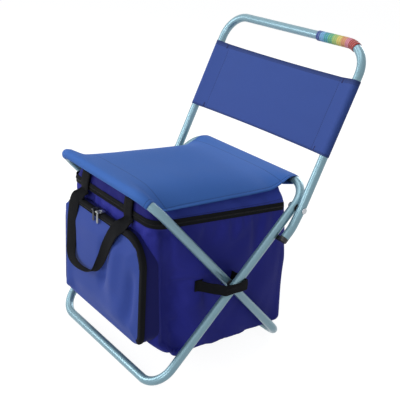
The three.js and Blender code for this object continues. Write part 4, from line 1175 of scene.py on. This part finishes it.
def pocket_line(out=0.0):
    """The arch from its left foot up and over to the right foot, seen from the front."""
    half, top, foot = POCKET_HALF + out, ARCH_RADIUS + out, FOOT_RADIUS + out
    high, low = POCKET_TOP - ARCH_RADIUS, POCKET_BOTTOM + FOOT_RADIUS
    corners = [(foot - half, low, foot, -pi / 2, FOOT_TURN), (top - half, high, top, pi, ARCH_TURN),
               (half - top, high, top, pi / 2, ARCH_TURN), (half - foot, low, foot, 0, FOOT_TURN)]
    crown, sill = high + top, low - foot
    walls = [((-half, low), (-half, high), WALL_STEPS), ((top - half, crown), (half - top, crown), TOP_STEPS),
             ((half, high), (half, low), WALL_STEPS), ((half - foot, sill), (foot - half, sill), SILL_STEPS)]
    line = []
    for corner, wall in zip(corners, walls):
        line += quarter(*corner) + straight(*wall)
    return line


def pocket_ring(out, depth):
    return [Vector((x, depth(x, z), z)) for x, z in pocket_line(out)]


POCKET_DRAPES = [  # middle across, middle up, half width, half height, how far it stands out
    (0.016, 0.186, 0.0125, 0.046, -0.0105),
    (0.052, 0.192, 0.017, 0.055, 0.0055),
    (0.100, 0.154, 0.014, 0.050, -0.009),
    (0.060, 0.112, 0.026, 0.030, 0.003),
]


def pocket_folds(p):
    edge = min(POCKET_HALF - abs(p.x), p.z - POCKET_BOTTOM, POCKET_TOP - p.z)
    hold = held(edge - 0.006, 0.03)
    swell = 0.007 * held(edge, 0.045) + 0.007 * held(edge - 0.003, 0.012) * ease((-p.x - 0.09) / 0.03)
    broad = ripple(p, 0.07, 1, 1, 1.8) * 0.0025
    drape = sum(height * exp(-((p.x - middle - 0.12 * (p.z - place)) / wide) ** 2 - ((p.z - place) / tall) ** 4)
                for middle, place, wide, tall, height in POCKET_DRAPES)
    return hold * (broad + drape) + swell

# %% Pocket
STAND_ROWS, EDGE_TURN, FACE_ROWS = 4, 6, 48
pocket_rings = []
for k in range(STAND_ROWS + 1):
    pocket_rings.append(pocket_ring(0, lambda x, z: mix(bag_face(x, z) - 0.0007, POCKET_FRONT + POCKET_EDGE,
                                                        k / STAND_ROWS)))
for k in range(1, EDGE_TURN + 1):
    a = pi / 2 * k / EDGE_TURN
    pocket_rings.append(pocket_ring(-POCKET_EDGE * (1 - cos(a)),
                                    lambda x, z: POCKET_FRONT + POCKET_EDGE * (1 - sin(a))))
centre = Vector((0, POCKET_FRONT, (POCKET_TOP + POCKET_BOTTOM) / 2))
face_line = pocket_ring(-POCKET_EDGE, lambda x, z: POCKET_FRONT)
pocket_rings += [[centre + (p - centre) * (1 - k / FACE_ROWS) for p in face_line] for k in range(1, FACE_ROWS + 1)]
bm = loft(pocket_rings, guide=4)
uv = bm.loops.layers.uv["cloth"]
for vert in bm.verts:
    for corner in vert.link_loops:
        corner[uv].uv = (vert.co.x, vert.co.z)
    if vert.co.y < POCKET_FRONT + 0.0002:
        vert.co.y -= pocket_folds(vert.co)
# The pocket's side wall takes a darker copy of the cloth, painted shade in the recess between the pocket and the bag.
for face in bm.faces:
    face.material_index = int(face.calc_center_median().y > POCKET_FRONT + 0.0045)
pocket_cloth = cloth_finish("pocket_cloth", paint(49, 73, 155), sheen=0.05, specular=0.25, amount=0.1, roughness=0.62)
gusset_shade_cloth = cloth_finish("gusset_shade_cloth", paint(34, 36, 104), sheen=0.02, specular=0.1, amount=0.1, roughness=0.7)
make_piece("front_pocket", bm, [pocket_cloth, gusset_shade_cloth], "rear_frame", ["pocket_shell"], sharp=70)

# %% [markdown]
# The pocket's edge is wrapped in black all the way round its sides and top: a zip over the arch, plain binding
# below it on both sides. All three have one section, folded over the edge with a round welt at the corner, so they
# are cut from one line.

# %% Pocket trims
def pocket_trim(name, first, last, material, node, coil, flap):
    points = [Vector((x, 0, z)) for x, z in pocket_line()[first:last + 1]]
    ridge = 0.0007 if coil else 0.0
    section = [(-0.009, -0.0019), (-0.0062, -0.0020), (-0.0052, -0.0021 - ridge), (-0.0038, -0.0022 - ridge),
               (-0.0028, -0.0021), (-0.0008, -0.0021), (0.0009, -0.0013), (0.0020, 0.0003), (0.0020, 0.0070),
               (0.0004, 0.0071), (0.0004, 0.0008), (-0.0004, -0.0002), (-0.009, -0.0004)]
    rings = []
    for k, point in enumerate(points):
        run = run_at(points, k)
        out = Vector((-run.z, 0, run.x))
        rings.append([point + out * (reach * flap if reach < 0 else reach) + Vector((0, POCKET_FRONT + rise, 0))
                      for reach, rise in section])
    bm = loft(rings)
    fill_ends(bm)
    make_piece(name, bm, material, "rear_frame", [node], sharp=60)


pocket_tape = webbing_finish("pocket_tape", paint(15, 16, 19), 0.02, coil=(0.0045, 0.0012))
binding_tape = webbing_finish("binding_tape", paint(14, 15, 18), 0.02)
arch_start = FOOT_TURN + WALL_STEPS
arch_end = arch_start + 2 * ARCH_TURN + TOP_STEPS
pocket_trim("pocket_zip_tape", arch_start, arch_end, pocket_tape, "pocket_zip", True, 1.0)
pocket_trim("pocket_edge_left", 4, arch_start, binding_tape, "pocket_binding_left", False, 0.35)
pocket_trim("pocket_edge_right", arch_end, arch_end + 34, binding_tape, "pocket_binding_right", False, 0.8)

# %% [markdown]
# ## Carry handle
# The handle is one length of webbing. Its ends are sewn above the pocket, and it hangs in front of it, drawn to the
# left, and turns edge on at its lowest point, as a slack strap does. We give its centre and its twist at a few
# stations, draw a smooth line through them and loft a narrow ribbon along it.

# %% Ribbon helper
def smooth_line(stations, steps):
    """Points on a Catmull-Rom line through the stations, which may be numbers or vectors."""
    out = []
    for k in range(len(stations) - 1):
        p0, p1, p2, p3 = (stations[min(max(i, 0), len(stations) - 1)] for i in (k - 1, k, k + 1, k + 2))
        for s in range(steps):
            t = s / steps
            out.append(p1 + (p2 - p0) * (0.5 * t) + (p0 * 2 - p1 * 5 + p2 * 4 - p3) * (0.5 * t * t)
                       + (p1 * 3 - p0 - p2 * 3 + p3) * (0.5 * t ** 3))
    return out + [stations[-1]]


def ribbon(centres, twists, widths, sag=0.0, columns=8, upright=False):
    """A flat band along a line of centres, turned about the line by twists in degrees."""
    rings = []
    for k, centre in enumerate(centres):
        run = run_at(centres, k)
        wide = Vector((0, 0, 1)) if upright else run.cross(Vector((0, 1, 0))).normalized()
        wide = Matrix.Rotation(radians(twists[k]), 3, run) @ wide
        thick = wide.cross(run)
        shares = [mix(-1, 1, c / columns) for c in range(columns + 1)]
        rings.append([centre + wide * widths[k] / 2 * s + thick * sag * (s * s - 0.4) for s in shares])
    return loft(rings, closed=False)

# %% Handle
WEB_WIDE, HANDLE_REACH, HANDLE_OUT, HANDLE_DROP = 0.025, 0.074, 0.03, 0.142
HANDLE_TOP = POCKET_TOP + 0.017
HANDLE_STATIONS = [  # across, down and out as shares of the three reaches, twist in degrees, width
    (-1.12, 0, 0, 0, 0.025), (-1.14, 0.06, 0.38, -5, 0.025), (-1.22, 0.15, 0.58, -10, 0.025),
    (-1.28, 0.39, 0.66, -13, 0.025), (-1.28, 0.7, 0.72, -14, 0.025), (-1.2, 0.87, 0.86, -20, 0.021),
    (-0.93, 0.935, 0.97, -34, 0.013), (-0.45, 0.925, 1.02, -62, 0.009), (0.06, 0.83, 1.04, -110, 0.011),
    (0.37, 0.62, 1, -156, 0.017), (0.55, 0.37, 0.86, -178, 0.023), (0.73, 0.175, 0.68, -184, 0.025),
    (0.89, 0.07, 0.4, -182, 0.025), (0.92, 0, 0, -180, 0.025),
]
handle_face = bag_face(0, HANDLE_TOP) - 0.0025
stations = [Vector((across * HANDLE_REACH, handle_face - out * HANDLE_OUT, HANDLE_TOP - down * HANDLE_DROP))
            for across, down, out, _, _ in HANDLE_STATIONS]
centres = smooth_line(stations, 10)
twists, widths = (smooth_line([station[column] for station in HANDLE_STATIONS], 10) for column in (3, 4))
web_black = webbing_finish("black_webbing", paint(15, 16, 19), WEB_WIDE, pitch=0.0014, edge=0.0025)
handle = make_piece("handle_web", ribbon(centres, twists, widths, sag=0.0006), web_black, "carry_handle",
                    ["carry_handle"], sharp=80, wall=(0.0018, 0))
soften = handle.modifiers.new("soften", "BEVEL")
soften.width, soften.segments = 0.0004, 2
print("handle", round(lengths_along(centres)[-1], 3), "m long")

# %% Handle ends
for side, low_x, high_x in (("left", -0.083, -0.078), ("right", 0.0685, 0.066)):
    rise = zip_plane(FRONT_RIM)
    stations = [Vector((mix(low_x, high_x, share), y, z)) for share, y, z in (
        (0.0, handle_face - 0.0006, HANDLE_TOP - 0.004), (0.2, handle_face - 0.0006, HANDLE_TOP + 0.002),
        (0.5, FRONT_RIM - 0.0038, rise - 0.005), (0.7, FRONT_RIM - 0.0038, rise + 0.006),
        (0.85, FRONT_RIM - 0.0030, rise + 0.013), (1.0, FRONT_RIM - 0.0010, rise + 0.025))]
    centres = smooth_line(stations, 6)
    bm = ribbon(centres, [0] * len(centres), [WEB_WIDE] * len(centres), columns=4)
    make_piece(f"handle_end_{side}", bm, web_black, "rear_frame", (), sharp=80, wall=(0.0016, 0))

# %% [markdown]
# ## Leg straps
# On each side a strap is sewn to the bag and looped round the two legs where they cross, which keeps the bag at
# that height. It is slack, so it crumples: its width gathers towards the rivet and its edges wander.

# %% Leg straps
STRAP_WIDE, STRAP_REACH = 0.021, 0.021
INNER, OUTER = BAG_HALF + 0.0011, REAR_HALF + 0.0113
STRAP_STATIONS = [
    (INNER + 0.0014, -0.060), (INNER + 0.0014, -0.053), (INNER + 0.014, -0.044), (OUTER - 0.004, -0.0285),
    (OUTER, -STRAP_REACH), (OUTER + 0.0012, 0.0), (OUTER, STRAP_REACH - 0.003), (OUTER - 0.005, STRAP_REACH + 0.0006),
    (INNER + 0.006, STRAP_REACH + 0.0008), (INNER, STRAP_REACH - 0.004), (INNER, 0.0), (INNER, -0.03),
    (INNER, -0.053), (INNER, -0.060)]
for side, sign in SIDES:
    stations = [PIVOT + Vector((sign * x, y, 0.0025 * ease((x - 0.15) / 0.02))) for x, y in STRAP_STATIONS]
    centres = smooth_line(stations, 9)
    widths = [STRAP_WIDE - 0.0025 * ease((abs(c.x) - 0.150) / 0.03) + 0.0016 * ripple(c, 0.012) for c in centres]
    twists = [7 * ripple(c + Vector((0, 0, 0.4 * sign)), 0.02) * ease((abs(c.x) - 0.142) / 0.02) for c in centres]
    bm = ribbon(centres, twists, widths, sag=0.0006, columns=12, upright=True)
    for vert in bm.verts:
        loose = ease((abs(vert.co.x) - 0.143) / 0.012)
        pleat = soft_ridge(vert.co, 0.009, 5, 5, 1) - 0.4
        vert.co += Vector((sign * 0.0011 * pleat, 0, 0.0016 * ripple(vert.co, 0.016))) * loose
    make_piece(f"leg_strap_{side}", bm, web_black, "rear_frame", [f"pivot_strap_{side}"], sharp=80,
               wall=(0.0012, 0))

# %% [markdown]
# ## Zip sliders and pulls
# A slider is a little die-cast body with two cheeks and a pin, and its pull is a rounded tab that hangs from the
# pin. We model both once in their own small frame, x along the zip and z away from it, and set that frame down on
# the pocket and on the lid.

# %% Slider and pull
SLIDER_THICK, PIN_DOWN, PULL_LONG, PULL_HALF = 0.003, 0.0038, 0.018, 0.003
PIN = [(0, -0.0048), (0.0008, -0.0048), (0.0008, 0.0048), (0, 0.0048)]
EYE_RING = [(0.00115, -0.003), (0.0021, -0.003), (0.0021, 0.003), (0.00115, 0.003)]


def slider_mesh(width, place):
    bm = bmesh.new()
    middle, at = width / 2, Matrix.Translation
    block(bm, (0.012, width + 0.002, SLIDER_THICK), place @ at((0, middle, SLIDER_THICK / 2)), 0.0007)
    block(bm, (0.0075, 0.0030, 0.0012), place @ at((0, middle, SLIDER_THICK + 0.0002)), 0.0005)
    for x in (-0.00395, 0.00395):
        block(bm, (0.0012, 0.0054, 0.0028), place @ at((x, -0.0027, SLIDER_THICK / 2)), 0.0004)
    axis, pin = place.to_3x3() @ Vector((1, 0, 0)), place @ Vector((0, -PIN_DOWN, SLIDER_THICK / 2))
    return turned(bm, PIN, pin, axis, steps=12)


def pull_mesh(place):
    """A tab 6 mm wide and 21 mm long that hangs down its own z from an eye at the origin."""
    bm = bmesh.new()
    upright = Matrix.Translation((0, -0.0006, -PULL_LONG)) @ Matrix.Rotation(pi / 2, 4, "X")
    bmesh.ops.create_circle(bm, cap_ends=True, radius=PULL_HALF, segments=24, matrix=upright)
    tops = [v for v in bm.verts if v.co.z > -PULL_LONG + 1e-5]
    bmesh.ops.translate(bm, verts=tops, vec=(0, 0, 0.0135))
    for vert in tops:
        vert.co.x *= 0.8
    bmesh.ops.inset_region(bm, faces=bm.faces[:], thickness=0.0008)
    front = max(bm.faces, key=lambda f: f.calc_area())
    bmesh.ops.translate(bm, verts=front.verts, vec=(0, 0.0003, 0))
    back = bmesh.ops.extrude_edge_only(bm, edges=[e for e in bm.edges if e.is_boundary])["geom"]
    bmesh.ops.translate(bm, verts=of_kind(back, bmesh.types.BMVert), vec=(0, 0.0012, 0))
    fill_ends(bm)
    turned(bm, EYE_RING, Vector(), Vector((1, 0, 0)), steps=20, closed=True)
    bmesh.ops.transform(bm, matrix=place, verts=bm.verts)
    return bm

# %% Set the sliders down
def set_down(slider, pull, nodes, width, place, slider_look, pull_look, turn=0.0):
    """The slider and its pull stand for the two nodes, which are also the names of their bodies."""
    eye = place @ Matrix.Translation((0, -PIN_DOWN, SLIDER_THICK / 2)) @ Matrix.Rotation(turn, 4, "X")
    make_piece(slider, slider_mesh(width, place), slider_look, nodes[0], [nodes[0]], sharp=35)
    make_piece(pull, pull_mesh(eye), pull_look, nodes[1], [nodes[1]], sharp=35)


for side, slider_look, pull_look in (("left", dark_zinc, dark_zinc), ("right", zinc, pull_zinc)):
    low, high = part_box(f"pocket_slider_{side}")
    place = Matrix.Translation(((low.x + high.x) / 2, low.y + 0.0054, low.z))
    set_down(f"pocket_zip_slider_{side}", f"pocket_zip_pull_{side}", [f"pocket_slider_{side}", f"pocket_pull_{side}"],
             0.009, place, slider_look, pull_look)

slope = atan2(rear_bar.z - front_bar.z, rear_bar.y - front_bar.y)
along_zip = Matrix(((0, 0, -1, 0), (-1, 0, 0, 0), (0, 1, 0, 0), (0, 0, 0, 1)))
start = PIVOT.y + 0.066
place = (Matrix.Translation((-(BAG_HALF + 0.0023), start, zip_plane(start))) @ Matrix.Rotation(slope, 4, "X")
         @ along_zip @ Matrix.Translation((0, -0.0055, 0)))
set_down("lid_zip_slider", "lid_zip_pull", ["lid_slider", "lid_pull"], 0.011, place, zinc, zinc, turn=-pi / 2)

# %% [markdown]
# ## Floor board
# A thin board stiffens the bag's floor. It is out of sight, but it keeps its shape and its place.

# %% Floor board
low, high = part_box("base_board")
board_grey = hard_finish("board_grey", paint(86, 89, 94), 0.6, grain=500.0)
bm = bmesh.new()
block(bm, high - low, Matrix.Translation((low + high) / 2), 0.001)
make_piece("floor_board", bm, board_grey, "rear_frame", ["base_board"])

# %% [markdown]
# ## Folding
# When the stool folds, the front loop swings back against the rear one. The bag can't follow both, and the real one
# goes flat. Here the pieces sewn to it and the handle only get meshes of their own; nothing flattens or bends them.

# %% Own meshes for the bag's pieces
names = ["bag_body", "bag_lid", "lid_zip_tape", "front_pocket", "pocket_zip_tape", "floor_board", "lid_zip_slider",
         "lid_zip_pull", "handle_web"]
names += [f"{part}_{side}" for part in ("pocket_edge", "handle_end", "pocket_zip_slider", "pocket_zip_pull")
          for side, _ in SIDES]
for name in names:
    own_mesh(bpy.data.objects[name])
print(len(names), "pieces flatten")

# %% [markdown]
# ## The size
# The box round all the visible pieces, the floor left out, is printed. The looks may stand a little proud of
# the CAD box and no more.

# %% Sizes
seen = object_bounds()
print("visual box", [round(x, 4) for x in seen[1] - seen[0]])
